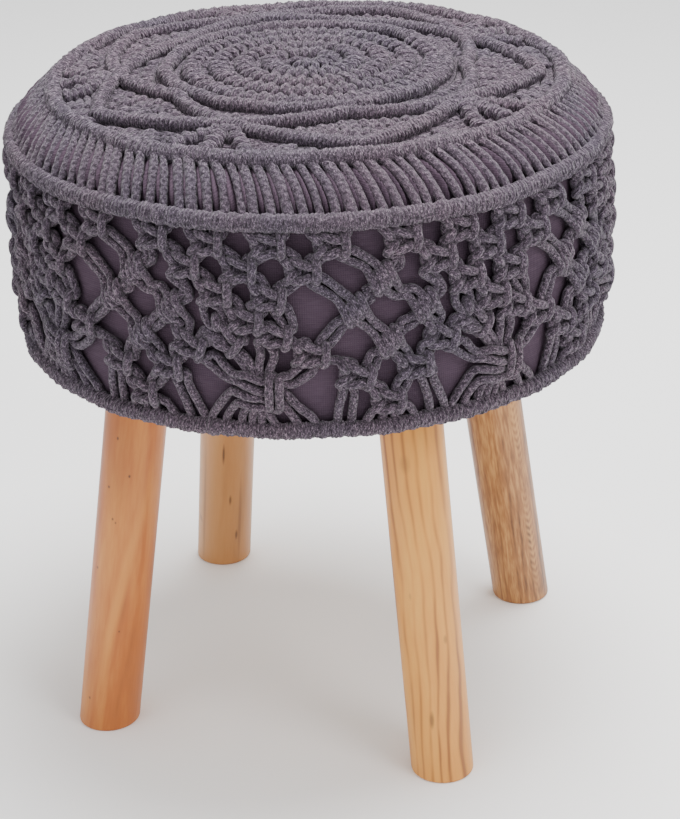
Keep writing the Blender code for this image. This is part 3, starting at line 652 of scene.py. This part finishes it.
# Three fat knots fan out from each crossing. The lean is in degrees and the arch in mm.
Berry = namedtuple("Berry", "lean arch")
BERRIES = (Berry(-9.0, 0.2), Berry(0.0, 0.9), Berry(9.0, 0.2))
BERRY = Size(2.9, 2.6, 2.1, 2.8)
BERRY_PITCH = 4.4
BERRY_PATH = ((0.10, 114), (0.45, 124), (0.80, 134), (1.0, 145))  # share of the lean, radius
# Rows along the rim, from a crossing to each side: how far in, and the angles they begin and end
EdgeRow = namedtuple("EdgeRow", "inside begin reach")
EDGE_ROWS = (EdgeRow(2.4, 13.5, 30), EdgeRow(7.4, 14.5, 25), EdgeRow(12.4, 16.0, 20))
EDGE_RADII = (144.5, 145.0, 145.0)  # of the rim itself, where a row begins, half way and ends
EDGE_SINK = 2.4  # how far these rows lie under the ropes, mm
INNER_ROWS = ((93.5, 22.0), (101.0, 11.0))  # radius, and half their length in degrees
INNER_BEND = 1.5  # how much further out their ends are than their middles, mm
COIL_STEP = 15.5  # how much further in each turn lies, mm
COIL_START = 76.6  # its radius where it leaves the ring, mm
COIL_ANGLE = -235.0  # where it leaves the ring
COIL_MIDDLE = 5.0  # its radius where it ends
COIL_PARTS = 24  # in one turn
Coil = namedtuple("Coil", "inside lift size pitch lump")
COILS = (
    Coil(0.0, 0.2, Size(4.0, 2.7, 2.1, 2.6), 4.3, 0.55),
    Coil(COIL_STEP / 2, -2.2, Size(1.6, 1.4, 2.4, 3.8), 6.6, 0.4),
)
UNDERLAY = (62.0, 146.0, 4.9)  # cords lying on the lining: first and last radius, spacing
UNDERLAY_SINK = 3.0
UNDERLAY_HALF = (2.1, 2.6)  # their half sizes, upwards and across
UNDERLAY_POINTS = 1.8  # round each, for every mm of its radius


def dome(radius):
    """How much higher the seat's top is at this radius than at its rim, in mm."""
    return DOME * np.clip(1 - (radius / DOME_RADIUS) ** 2, 0, None)


def crown_line(corners, lift=0.0, arch=0.0):
    """Corners (angle, radius in mm) as a smooth line on the domed crown."""
    angle, radius = np.array(corners).T
    line = smooth_line(round_seat(radius, np.radians(angle), 0.0)[:, :2], CROWN_STEP)
    share = np.linspace(0, 1, len(line))
    height = CROWN_HEIGHT + dome(np.hypot(line[:, 0], line[:, 1]))
    height += lift + arch * np.sin(math.pi * share)
    return np.column_stack([line, height]) * MM


def bowed(start, end, bulge):
    """Places (angle, radius) from start to end, bowed outwards by bulge mm."""
    share = np.linspace(0, 1, ROPE_POINTS)
    places = np.array(start) + np.subtract(end, start) * share[:, None]
    places[:, 1] += bulge * np.sin(math.pi * share)
    return places


def around(diamond, before):
    """A diamond's corners: inner, right, outer, left, and inner again."""
    inner = (diamond.inner_angle, diamond.inner_radius)
    right = (diamond.crossing, CROSSING_RADIUS)
    outer = (diamond.outer_angle, OUTER_RADIUS)
    return inner, right, outer, (before, CROSSING_RADIUS), inner


def row_of_knots(skein, corners, lump, sink=LUMP_SINK, slant=LUMP_SLANT):
    wrapped(skein, crown_line(corners, -sink), LUMPS, LUMP_PITCH, lump=lump, slant=slant)


def crown_pieces(chance):
    ridges = Skein(chance)
    filling = Skein(chance)
    lay_under(filling)
    before = DIAMONDS[-1].crossing - 360
    for diamond in DIAMONDS:
        spots = around(diamond, before)
        for number, bulge in enumerate(ROPE_BULGES):
            places = bowed(spots[number], spots[number + 1], bulge)
            line = crown_line(places, ROPE_LIFT, ROPE_ARCH * (number % 2))
            wrapped(ridges, line, ROPE, ROPE_PITCH, False, ROPE_LUMP, ROPE_LUMP_TURNS)
        fill_diamond(filling, spots)
        fill_outer(ridges, filling, diamond.crossing)
        fill_inner(filling, diamond.crossing)
        before = diamond.crossing
    ring = Skein(chance)
    height = CROWN_HEIGHT + dome(RING_RADIUS) + ROPE_LIFT
    line = circle(RING_RADIUS, height, RING_POINTS // 2, chance, CROWN_RING_WAVE)
    wrapped(ring, line, CROWN_RING, CROWN_RING_PITCH, True, ROPE_LUMP, ROPE_LUMP_TURNS)
    return [
        ridges.piece("crown_ridges"),
        filling.piece("crown_filling"),
        ring.piece("crown_ring"),
        coil_piece(chance),
    ]


def lay_under(skein):
    """Plain cords lying round the crown under everything else."""
    for radius in np.arange(*UNDERLAY):
        height = CROWN_HEIGHT + dome(radius) - UNDERLAY_SINK
        line = circle(radius, height, int(radius * UNDERLAY_POINTS))
        half_out, half_across = UNDERLAY_HALF
        skein.add(line, UP, half_out * MM, half_across * MM, sides=WRAP_SIDES, closed=True)


def fill_diamond(skein, spots):
    """Rows of small knots inside a diamond, one row within the other."""
    spots = np.array(spots)
    middle = (spots[0] + spots[2]) / 2
    parts = np.linspace(0, 1, 4, endpoint=False)[:, None]
    outline = np.concatenate([a + (b - a) * parts for a, b in zip(spots, spots[1:])])
    for share in DIAMOND_ROWS:
        row = middle + (outline - middle) * share
        row_of_knots(skein, [*row, row[0]], DIAMOND_LUMP)


def fill_outer(ridges, filling, middle):
    """Between two diamonds and the rim: fat knots, and rows of small ones along the rim."""
    for berry in BERRIES:
        spoke = [(middle + berry.lean * share, radius) for share, radius in BERRY_PATH]
        line = crown_line(spoke, -BERRY_SINK, berry.arch)
        wrapped(ridges, line, BERRY, BERRY_PITCH, lump=BERRY_LUMP)
    for way in (-1, 1):
        for row in EDGE_ROWS:
            angle = middle + np.linspace(row.begin, row.reach, 3) * way
            edge = np.column_stack([angle, np.array(EDGE_RADII) - row.inside])
            row_of_knots(filling, edge, EDGE_LUMP, EDGE_SINK, 0.0)


def fill_inner(skein, middle):
    """Between two diamonds and the crown's ring."""
    for radius, half in INNER_ROWS:
        row = [(middle + half * t, radius + INNER_BEND * t * t) for t in np.linspace(-1, 1, 7)]
        row_of_knots(skein, row, INNER_LUMP)


def coil_piece(chance):
    """The middle of the crown: a fat row of hitches worked round in a coil, knots between."""
    skein = Skein(chance)
    for coil in COILS:
        start = COIL_START - coil.inside
        turn = np.arange(0, (start - COIL_MIDDLE) / COIL_STEP, 1 / COIL_PARTS)
        places = np.column_stack([COIL_ANGLE - 360 * turn, start - turn * COIL_STEP])
        line = crown_line(places, coil.lift)
        wrapped(skein, line, coil.size, coil.pitch, lump=coil.lump, slant=LUMP_SLANT)
    return skein.piece("crown_coil")


# -------- lining

DOME_PLACES = (125, 100, 75, 50, 25, 0.1)  # radii of the rows on the domed top, mm
BULGE = 5.4  # how far the lining swells out between the shoulder cords, mm
BULGE_PLACE = 0.44  # where, in parts of their spacing: against the right side of each
BULGE_TOP = 393.5
BULGE_LOW = 369.0
BULGE_WAY = 0.7  # the share of a swelling that goes outwards, and upwards
# Between points of the smoothed profile, and between the rows of the mesh that it is thinned to:
# under the shoulder cords, down the side, on the top, and underneath. All in mm.
PROFILE_STEP = 0.9
SHOULDER_GAP = 2.4
SIDE_GAP = 5.0
TOP_GAP = 9.0
UNDER_GAP = 6.0
TOP_FROM = 390.0  # the top lies above this height
TOP_WITHIN = 140.0  # and within this radius


def thin_out(outline):
    """Fewer rows where the shoulder cords don't lie: down the side and on the top."""
    kept = [outline[0]]
    for radius, height in outline[1:]:
        gap = SHOULDER_GAP
        if height < BULGE_LOW:
            gap = SIDE_GAP
        if height > TOP_FROM and radius < TOP_WITHIN:
            gap = TOP_GAP
        if math.dist(kept[-1], (radius, height)) >= gap:
            kept.append((radius, height))
    kept.append(outline[-1])
    return kept


def rib_bulge(radius, height, turn):
    """How far the pad swells between the cords of the shoulder, in mm."""
    if not BULGE_LOW < height < BULGE_TOP or radius < RIB_LINE[0][0]:
        return np.zeros(len(turn))
    profile = smooth_line(RIB_LINE, RIB_STEP)[::-1]
    share = np.interp(height, profile[:, 1], np.linspace(1, 0, len(profile)))
    place = (np.degrees(turn) - rib_turn(share)) * RIBS / 360
    between = 0.5 + 0.5 * np.cos((place - BULGE_PLACE) * 2 * math.pi)
    fade = math.sin(math.pi * (BULGE_TOP - height) / (BULGE_TOP - BULGE_LOW)) ** 0.5
    return BULGE * between**3 * fade


def lining_piece():
    """The cloth-covered pad: a turned form, its top closed at the middle, its underside recessed."""
    profile = [(radius / MM, height / MM) for radius, height in LINING]
    edge = profile[-1][1]
    profile += [(radius, edge + dome(radius)) for radius in DOME_PLACES]
    side = smooth_line(profile[1:], PROFILE_STEP)
    under = [
        (DOME_PLACES[-1], RECESS_TOP / MM),
        (RECESS_RADIUS / MM, RECESS_TOP / MM),
        (RECESS_RADIUS / MM, profile[0][1]),
    ]
    outline = thin_out(np.vstack([even(np.array(under), UNDER_GAP), side]))
    turn = np.arange(LINING_TURNS) / LINING_TURNS * 2 * math.pi
    points = []
    for radius, height in outline:
        swell = rib_bulge(radius, height, turn) * BULGE_WAY
        points.append(round_seat((radius + swell) * MM, turn, (height + swell) * MM))
    rows = np.arange(len(outline) * LINING_TURNS).reshape(-1, LINING_TURNS)
    low, high = rows[:-1], rows[1:]
    quads = np.stack([low, np.roll(low, -1, 1), np.roll(high, -1, 1), high], -1)
    faces = quads.reshape(-1, 4).tolist() + [rows[0][::-1].tolist(), rows[-1].tolist()]
    return smooth_piece("seat_lining", np.concatenate(points), faces)


# -------- legs


def deselect():
    if bpy.context.object and bpy.context.object.mode != "OBJECT":
        bpy.ops.object.mode_set(mode="OBJECT")
    bpy.ops.object.select_all(action="DESELECT")


def cut_level(height, keep_above):
    """Cuts the open mesh level at this height and closes the cut."""
    bpy.ops.mesh.select_all(action="SELECT")
    bpy.ops.mesh.bisect(
        plane_co=(0, 0, height),
        plane_no=(0, 0, 1),
        use_fill=True,
        clear_inner=keep_above,
        clear_outer=not keep_above,
    )


def leg_piece(name, angle):
    """A turned leg, leaning outwards, sawn level at the floor and under the board."""
    foot = on_seat(angle, LEG_FOOT_RADIUS, 0)
    top = on_seat(angle, LEG_TOP_RADIUS, LEG_TOP)
    axis = (top - foot).normalized()
    right = (Vector((1, 0, 0)) - axis * axis.x).normalized()
    lean = Matrix((right, axis.cross(right), axis)).transposed().to_euler()
    deselect()
    bpy.ops.mesh.primitive_cylinder_add(
        vertices=LEG_SIDES,
        radius=LEG_RADIUS,
        depth=(top - foot).length + 2 * LEG_SPARE,
        location=(top + foot) / 2,
        rotation=lean,
    )
    leg = bpy.context.object
    leg.name = name + "_turned"
    bpy.ops.object.transform_apply(location=True, rotation=True, scale=True)
    bpy.ops.object.mode_set(mode="EDIT")
    cut_level(0, True)
    cut_level(LEG_TOP, False)
    bpy.ops.object.mode_set(mode="OBJECT")
    edge = leg.modifiers.new("Edge", "BEVEL")
    edge.width = LEG_CHAMFER
    edge.segments = LEG_CHAMFER_PARTS
    edge.limit_method = "ANGLE"
    edge.angle_limit = LEG_CREASE
    bpy.ops.object.modifier_apply(modifier="Edge")
    bpy.ops.object.shade_smooth_by_angle(angle=LEG_CREASE)
    return leg, foot, lean


# -------- finishes

BRAID = 2 * math.pi / 0.0048  # a strand of the braid shows again after 4.8 mm
THREADS_ROUND = 860
WEFT_PER_METRE = 2 * math.pi / 0.00125


class Value:
    """A node's output that can take part in arithmetic."""

    def __init__(self, finish, socket):
        self.finish = finish
        self.socket = socket

    def maths(self, operation, first, second=None):
        values = {0: first} if second is None else {0: first, 1: second}
        return self.finish.node("ShaderNodeMath", {"operation": operation}, values)

    def __add__(self, other):
        return self.maths("ADD", self, other)

    __radd__ = __add__

    def __sub__(self, other):
        return self.maths("SUBTRACT", self, other)

    def __rsub__(self, other):
        return self.maths("SUBTRACT", other, self)

    def __mul__(self, other):
        return self.maths("MULTIPLY", self, other)

    __rmul__ = __mul__

    def __pow__(self, other):
        return self.maths("POWER", self, other)

    def sine(self):
        return self.maths("SINE", self)


class Finish:
    """A material under construction."""

    def __init__(self, name):
        self.material = bpy.data.materials.new(name)
        self.material.use_nodes = True
        self.tree = self.material.node_tree
        self.shader = self.tree.nodes["Principled BSDF"]

    def node(self, kind, settings=None, values=None, output=0):
        """Adds a node: its settings first, then the values or links of its sockets."""
        made = self.tree.nodes.new(kind)
        for name, value in (settings or {}).items():
            if name == "stops":
                set_stops(made.color_ramp, value)
            else:
                setattr(made, name, value)
        for name, value in (values or {}).items():
            self.put(made.inputs[name], value)
        return Value(self, made.outputs[output])

    def put(self, socket, value):
        if isinstance(value, Value):
            self.tree.links.new(value.socket, socket)
        elif isinstance(value, tuple) and len(value) == 3 and socket.type == "RGBA":
            socket.default_value = (*value, 1)
        else:
            socket.default_value = value

    def place(self):
        return self.node("ShaderNodeTexCoord", output="Object")

    def parts(self, vector):
        """A vector's three numbers."""
        return [self.node("ShaderNodeSeparateXYZ", None, {0: vector}, axis) for axis in range(3)]

    def attribute(self, name):
        return self.node("ShaderNodeAttribute", {"attribute_name": name}, output="Vector")

    def turned(self, vector, location=(0, 0, 0), rotation=(0, 0, 0), scale=(1, 1, 1)):
        """The vector as seen from a place turned and scaled like this."""
        values = {"Vector": vector, "Location": tuple(location)}
        values |= {"Rotation": tuple(rotation), "Scale": tuple(scale)}
        return self.node("ShaderNodeMapping", {"vector_type": "TEXTURE"}, values)

    def near(self, place, mark):
        """How far a place is from the middle of a mark, 1 at its edge, whatever its depth."""
        spot = self.turned(
            place,
            location=(mark.across * MM, 0, mark.along * MM),
            rotation=(0, math.radians(mark.tilt), 0),
            scale=(mark.wide * MM, 1, mark.long * MM),
        )
        return self.node("ShaderNodeVectorMath", {"operation": "LENGTH"}, {0: spot}, "Value")

    def noise(self, vector, scale, detail=2.0, roughness=0.5, distortion=0.0):
        values = {"Vector": vector, "Scale": scale, "Detail": detail}
        values |= {"Roughness": roughness, "Distortion": distortion}
        return self.node("ShaderNodeTexNoise", None, values)

    def ramp(self, value, *stops):
        return self.node("ShaderNodeValToRGB", {"stops": stops}, {"Fac": value})

    def mask(self, value, low, high):
        values = {"Value": value, "From Min": low, "From Max": high}
        return self.node("ShaderNodeMapRange", {"clamp": True}, values)

    def mix(self, factor, first, second, blend="MIX"):
        settings = {"data_type": "RGBA", "blend_type": blend}
        return self.node("ShaderNodeMix", settings, {0: factor, 6: first, 7: second}, 2)

    def bump(self, height, strength, distance):
        values = {"Height": height, "Strength": strength, "Distance": distance}
        return self.node("ShaderNodeBump", None, values)

    def done(self, **inputs):
        for name, value in inputs.items():
            self.put(self.shader.inputs[name.replace("_", " ")], value)
        return self.material


def set_stops(ramp, stops):
    while len(ramp.elements) < len(stops):
        ramp.elements.new(0.5)
    for element, (position, colour) in zip(ramp.elements, stops):
        element.position = position
        element.color = (*colour, 1)


def cotton_cord():
    """Soft braided cotton, heathered: pale and dark specks of fibre, and painted shade in the pits
    between the strands.
    """
    finish = Finish("heathered_cotton_cord")
    place = finish.attribute("cord_place")
    across, upright, along = finish.parts(place)
    turn = upright.maths("ARCTAN2", upright, across)
    right_lay = (turn * 3 + along * BRAID).sine()
    left_lay = (turn * 3 - along * BRAID).sine()
    strands = right_lay.maths("MAXIMUM", right_lay, left_lay) * 0.5 + 0.5
    drawn = finish.turned(place, scale=(1, 1, 1.5))
    specks = finish.noise(drawn, 2100.0, 2.0, 0.75)
    flecks = finish.noise(drawn, 1050.0, 2.0, 0.6)
    tufts = finish.noise(drawn, 360.0, 2.0, 0.5)
    tone = specks * 0.5 + flecks * 0.5
    colour = finish.ramp(
        tone,
        (0.37, (0.012, 0.009, 0.013)),
        (0.46, (0.042, 0.031, 0.043)),
        (0.55, (0.100, 0.077, 0.101)),
        (0.68, (0.28, 0.235, 0.27)),
    )
    # Painted shade: the band of cord over the shoulder, from 0.372 to 0.396 m up, is painted darker, as
    # if it caught less light.
    up = finish.parts(finish.place())[2]
    shoulder = finish.mask(up, 0.372, 0.377) - finish.mask(up, 0.391, 0.396)
    colour = finish.mix(shoulder * 0.4, colour, (0.072, 0.056, 0.073))
    cloud = finish.noise(finish.place(), 16.0, 2.0, 0.5)
    tint = finish.ramp(cloud, (0.35, (0.86, 0.85, 0.94)), (0.65, (1.08, 0.96, 1.02)))
    colour = finish.mix(1.0, colour, tint, "MULTIPLY")
    # Painted shade: the pits between the braid's strands are darkened towards near black.
    pits = 1 - finish.mask(strands, 0.15, 0.60)
    colour = finish.mix(pits * 0.45, colour, (0.016, 0.012, 0.018))
    height = specks * 0.3 + flecks * 0.5 + tufts * 0.7 + strands * 0.6
    normal = finish.bump(height, 1.0, 0.0011)
    return finish.done(
        Base_Color=colour,
        Normal=normal,
        Roughness=0.95,
        Specular_IOR_Level=0.1,
        Sheen_Weight=0.15,
        Sheen_Roughness=0.6,
    )


def lining_cloth():
    """Plain-woven mauve cotton, stretched over the pad."""
    finish = Finish("mauve_plain_weave")
    place = finish.place()
    across, back, up = finish.parts(place)
    turn = back.maths("ARCTAN2", across, back)
    cloud = finish.noise(place, 30.0, 3.0, 0.5)
    slubs = finish.noise(finish.turned(place, scale=(7, 7, 1)), 900.0, 2.0, 0.5)
    warp = (turn * THREADS_ROUND + cloud * 3).sine() * 0.5 + 0.5
    weft = (up * WEFT_PER_METRE + cloud * 3).sine() * 0.5 + 0.5
    colour = finish.ramp(cloud, (0.30, (0.042, 0.026, 0.042)), (0.70, (0.060, 0.038, 0.058)))
    threads = warp * 0.5 + weft * 0.5
    colour = finish.mix(threads * 0.45, colour, (0.100, 0.067, 0.094))
    colour = finish.mix(finish.mask(slubs, 0.45, 0.8) * 0.3, colour, (0.12, 0.083, 0.115))
    height = slubs * 0.3 + threads
    normal = finish.bump(height, 0.5, 0.0004)
    return finish.done(Base_Color=colour, Normal=normal, Roughness=0.9, Specular_IOR_Level=0.2)


# Marks in the wood as seen from the front, in mm: right of the leg's axis, and up along it.
# The tilt is in degrees. The shade darkens, or where negative turns paler.
Mark = namedtuple("Mark", "across along wide long tilt shade")
# Lines is growth lines a metre, heart how far off the middle of the tree is, in mm, and the values
# from wander to waves are how strongly each trait shows.
Wood = namedtuple(
    "Wood", "dark middle pale lines heart wander line_depth mottle pore_depth waves marks"
)
WOODS = {
    "leg_front_left": Wood(
        dark=(0.17, 0.045, 0.006), middle=(0.42, 0.115, 0.013), pale=(0.64, 0.26, 0.040), lines=110,
        heart=70, wander=16, line_depth=0.25, mottle=0.9, pore_depth=0.3, waves=0.0,
        marks=(
            Mark(-9, 198, 0.9, 1.5, 0, 0.9), Mark(0, 175, 1.0, 1.4, 0, 0.9),
            Mark(-12, 165, 0.9, 1.2, 0, 0.9), Mark(-8, 145, 0.8, 1.1, 0, 0.9),
            Mark(-6, 143, 0.7, 1.0, 0, 0.8), Mark(-15, 109, 0.8, 1.2, 0, 0.8),
            Mark(2, 70, 0.8, 1.0, 0, 0.8), Mark(-13, 19, 0.9, 1.2, 0, 0.8),
            # The second mark on the next line is painted shade: a broad darkening high on the leg, under
            # the seat.
            Mark(1, 100, 4.5, 85, 8, -0.60), Mark(-8, 190, 12, 50, 0, 0.14),
        ),
    ),
    "leg_front_right": Wood(
        dark=(0.30, 0.098, 0.014), middle=(0.64, 0.26, 0.034), pale=(0.79, 0.405, 0.066), lines=170,
        heart=48, wander=17, line_depth=1.35, mottle=0.55, pore_depth=0.3, waves=0.0,
        marks=(
            Mark(-6, 203, 3.6, 7.0, 0, 0.30), Mark(-4, 40, 1.8, 7.0, 4, 0.65),
            Mark(8.5, 91, 1.5, 3.6, 0, 0.40), Mark(-10, 120, 1.0, 3.0, 0, 0.25),
        ),
    ),
    "leg_back_right": Wood(
        dark=(0.10, 0.036, 0.009), middle=(0.31, 0.123, 0.030), pale=(0.52, 0.26, 0.076), lines=210,
        heart=55, wander=12, line_depth=0.65, mottle=0.75, pore_depth=2.2, waves=1.0,
        marks=(
            Mark(12.5, 150, 3.4, 50, 0, -0.80), Mark(12.0, 50, 3.2, 55, 0, -0.75),
            Mark(13.5, 8, 2.4, 6.0, 0, 0.35),
        ),
    ),
    "leg_back_left": Wood(
        dark=(0.20, 0.078, 0.020), middle=(0.44, 0.195, 0.056), pale=(0.54, 0.275, 0.094), lines=70,
        heart=80, wander=9, line_depth=0.3, mottle=0.45, pore_depth=0.25, waves=0.0,
        marks=(
            Mark(-2, 99, 1.2, 10.0, 0, 0.85), Mark(3.5, 60, 1.2, 5.0, 0, 0.70),
            Mark(8.5, 29, 1.2, 5.0, 0, 0.75), Mark(10.5, 40, 1.3, 46, 0, 0.34),
            Mark(-14.5, 50, 1.2, 70, 0, 0.34), Mark(-17.0, 37, 1.4, 4.0, -15, 0.35),
        ),
    ),
}
# Brown of knots in the wood, and of the painted shade high on the front left leg under the seat
KNOT_AND_SHADE_BROWN = (0.075, 0.026, 0.008)
CHEVRON = 2 * math.pi / 0.0058  # the fine waves inside a pale mark, down the leg
CHEVRON_SLOPE = 1500  # and away from the middle of their band, in radians a metre
CHEVRON_MIDDLE = 12.3  # right of the leg's axis, mm


def wood(name, recipe, foot, lean):
    """Varnished wood with its growth lines along the leg, and marks placed one by one."""
    finish = Finish(name + "_grain")
    place = finish.turned(finish.place(), location=foot, rotation=lean)
    across, back, along = finish.parts(place)
    wander = finish.noise(finish.turned(place, scale=(1, 1, 2.6)), 26.0, 2.0, 0.45)
    swirl = finish.noise(finish.turned(place, scale=(1, 1, 5)), 45.0, 3.0, 0.55)
    pores = finish.noise(finish.turned(place, scale=(1, 1, 9)), 620.0, 2.0, 0.6)
    inward = across + recipe.heart * MM
    heart = (inward * inward + back * back) ** 0.5
    growth = (heart * (recipe.lines * 2 * math.pi) + wander * recipe.wander).sine() * 0.5 + 0.5
    late = growth**4 * finish.mask(swirl, 0.30, 0.62)
    tone = (
        late * (0.42 * recipe.line_depth)
        + (swirl - 0.5) * (0.8 * recipe.mottle)
        + (pores - 0.5) * (0.5 * recipe.pore_depth)
        + 0.38
    )
    colour = finish.ramp(tone, (0.12, recipe.pale), (0.44, recipe.middle), (0.88, recipe.dark))
    aside = across.maths("ABSOLUTE", across - CHEVRON_MIDDLE * MM)
    chevrons = (along * CHEVRON - aside * CHEVRON_SLOPE + swirl * 5).sine()
    chevrons = chevrons * (recipe.waves / 2) + (1 - recipe.waves / 2)
    # Dark marks are knots and streaks in the wood, and one on the front left leg is painted shade under
    # the seat; negative ones are paler streaks.
    for mark in recipe.marks:
        inside = 1 - finish.mask(finish.near(place, mark), 0.35, 1.0)
        if mark.shade > 0:
            colour = finish.mix(inside * mark.shade, colour, KNOT_AND_SHADE_BROWN)
        else:
            colour = finish.mix(inside * chevrons * -mark.shade, colour, recipe.pale)
    height = pores * 0.6 + late * 0.4
    normal = finish.bump(height, 0.3, 0.0003)
    return finish.done(
        Base_Color=colour,
        Normal=normal,
        Roughness=0.40 + pores * 0.12,
        Coat_Weight=0.12,
        Coat_Roughness=0.3,
    )


def board_wood():
    """Plywood under the seat, seen only from below."""
    finish = Finish("board_plywood")
    place = finish.place()
    drawn = finish.turned(place, scale=(1, 12, 1))
    grain = finish.noise(drawn, 90.0, 4.0, 0.6, 0.6)
    pores = finish.noise(drawn, 600.0, 2.0, 0.6)
    colour = finish.ramp(
        grain,
        (0.30, (0.34, 0.21, 0.11)),
        (0.55, (0.52, 0.36, 0.20)),
        (0.80, (0.64, 0.47, 0.29)),
    )
    normal = finish.bump(pores, 0.3, 0.0003)
    return finish.done(Base_Color=colour, Normal=normal, Roughness=0.7)


def floor_paint():
    finish = Finish("pale_floor")
    cloud = finish.noise(finish.place(), 2.0, 2.0, 0.5)
    colour = finish.ramp(cloud, (0.0, (0.94, 0.94, 0.94)), (1.0, (0.97, 0.97, 0.97)))
    return finish.done(Base_Color=colour, Roughness=0.9)


# -------- dressing the frame


def dress(piece, material):
    piece.data.materials.clear()
    piece.data.materials.append(material)
    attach(piece, "root")


def build():
    chance = np.random.default_rng(SEED)
    cord = cotton_cord()
    cover = wall_pieces(chance) + ring_pieces(chance)
    cover.append(shoulder_piece(chance))
    cover += crown_pieces(chance)
    for piece in cover:
        dress(piece, cord)
        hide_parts("macrame_cover")
    lining = lining_piece()
    dress(lining, lining_cloth())
    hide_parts("seat_pad")
    for name, angle in LEG_ANGLES.items():
        leg, foot, lean = leg_piece(name, angle)
        dress(leg, wood(name, WOODS[name], foot, lean))
        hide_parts(name)
    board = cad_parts["seat_board"]
    plywood = board_wood()
    for slot in board.material_slots:
        slot.material = plywood


# -------- studio

FOCAL = 2222.1  # pixels
LONG_SIDE = 819
SENSOR = 36.0
CAMERA_TILT = math.radians(25.597)
CAMERA_ROLL = math.radians(1.471)
CAMERA_DISTANCE = 1.4086
CAMERA_AIM = (0.0147, 0.0, 0.1780)
FLOOR = 12.0
Lamp = namedtuple("Lamp", "name place size power")
LAMPS = (
    Lamp("top", (0.25, 0.25, 1.9), 1.1, 64),
    Lamp("key", (1.2, -1.1, 1.5), 0.9, 15),
    Lamp("fill", (-1.3, -1.0, 1.1), 1.2, 4),
)
LAMPS_AIM = Vector((0, 0, 0.25))


def camera():
    data = bpy.data.cameras.new("camera")
    data.lens = FOCAL * SENSOR / LONG_SIDE
    data.sensor_width = SENSOR
    made = linked("camera", data)
    aim = Matrix.Translation(CAMERA_AIM)
    level = Matrix.Rotation(math.radians(90), 4, "X")
    tilt = Matrix.Rotation(-CAMERA_TILT, 4, "X")
    roll = Matrix.Rotation(-CAMERA_ROLL, 4, "Z")
    made.matrix_world = aim @ level @ tilt @ roll @ Matrix.Translation((0, 0, CAMERA_DISTANCE))
    bpy.context.scene.camera = made


def area_light(lamp):
    data = bpy.data.lights.new(lamp.name, "AREA")
    data.shape = "DISK"
    data.size = lamp.size
    data.energy = lamp.power
    made = linked(lamp.name, data)
    made.location = lamp.place
    made.rotation_euler = (LAMPS_AIM - made.location).to_track_quat("-Z", "Y").to_euler()


def studio():
    deselect()
    bpy.ops.mesh.primitive_plane_add(size=FLOOR)
    floor = bpy.context.object
    floor.name = "floor"
    floor.data.materials.append(floor_paint())
    world = bpy.data.worlds.new("studio")
    world.use_nodes = True
    background = world.node_tree.nodes["Background"]
    background.inputs["Color"].default_value = (1, 1, 1, 1)
    background.inputs["Strength"].default_value = 1.0
    bpy.context.scene.world = world
    for lamp in LAMPS:
        area_light(lamp)


camera()
build()
studio()
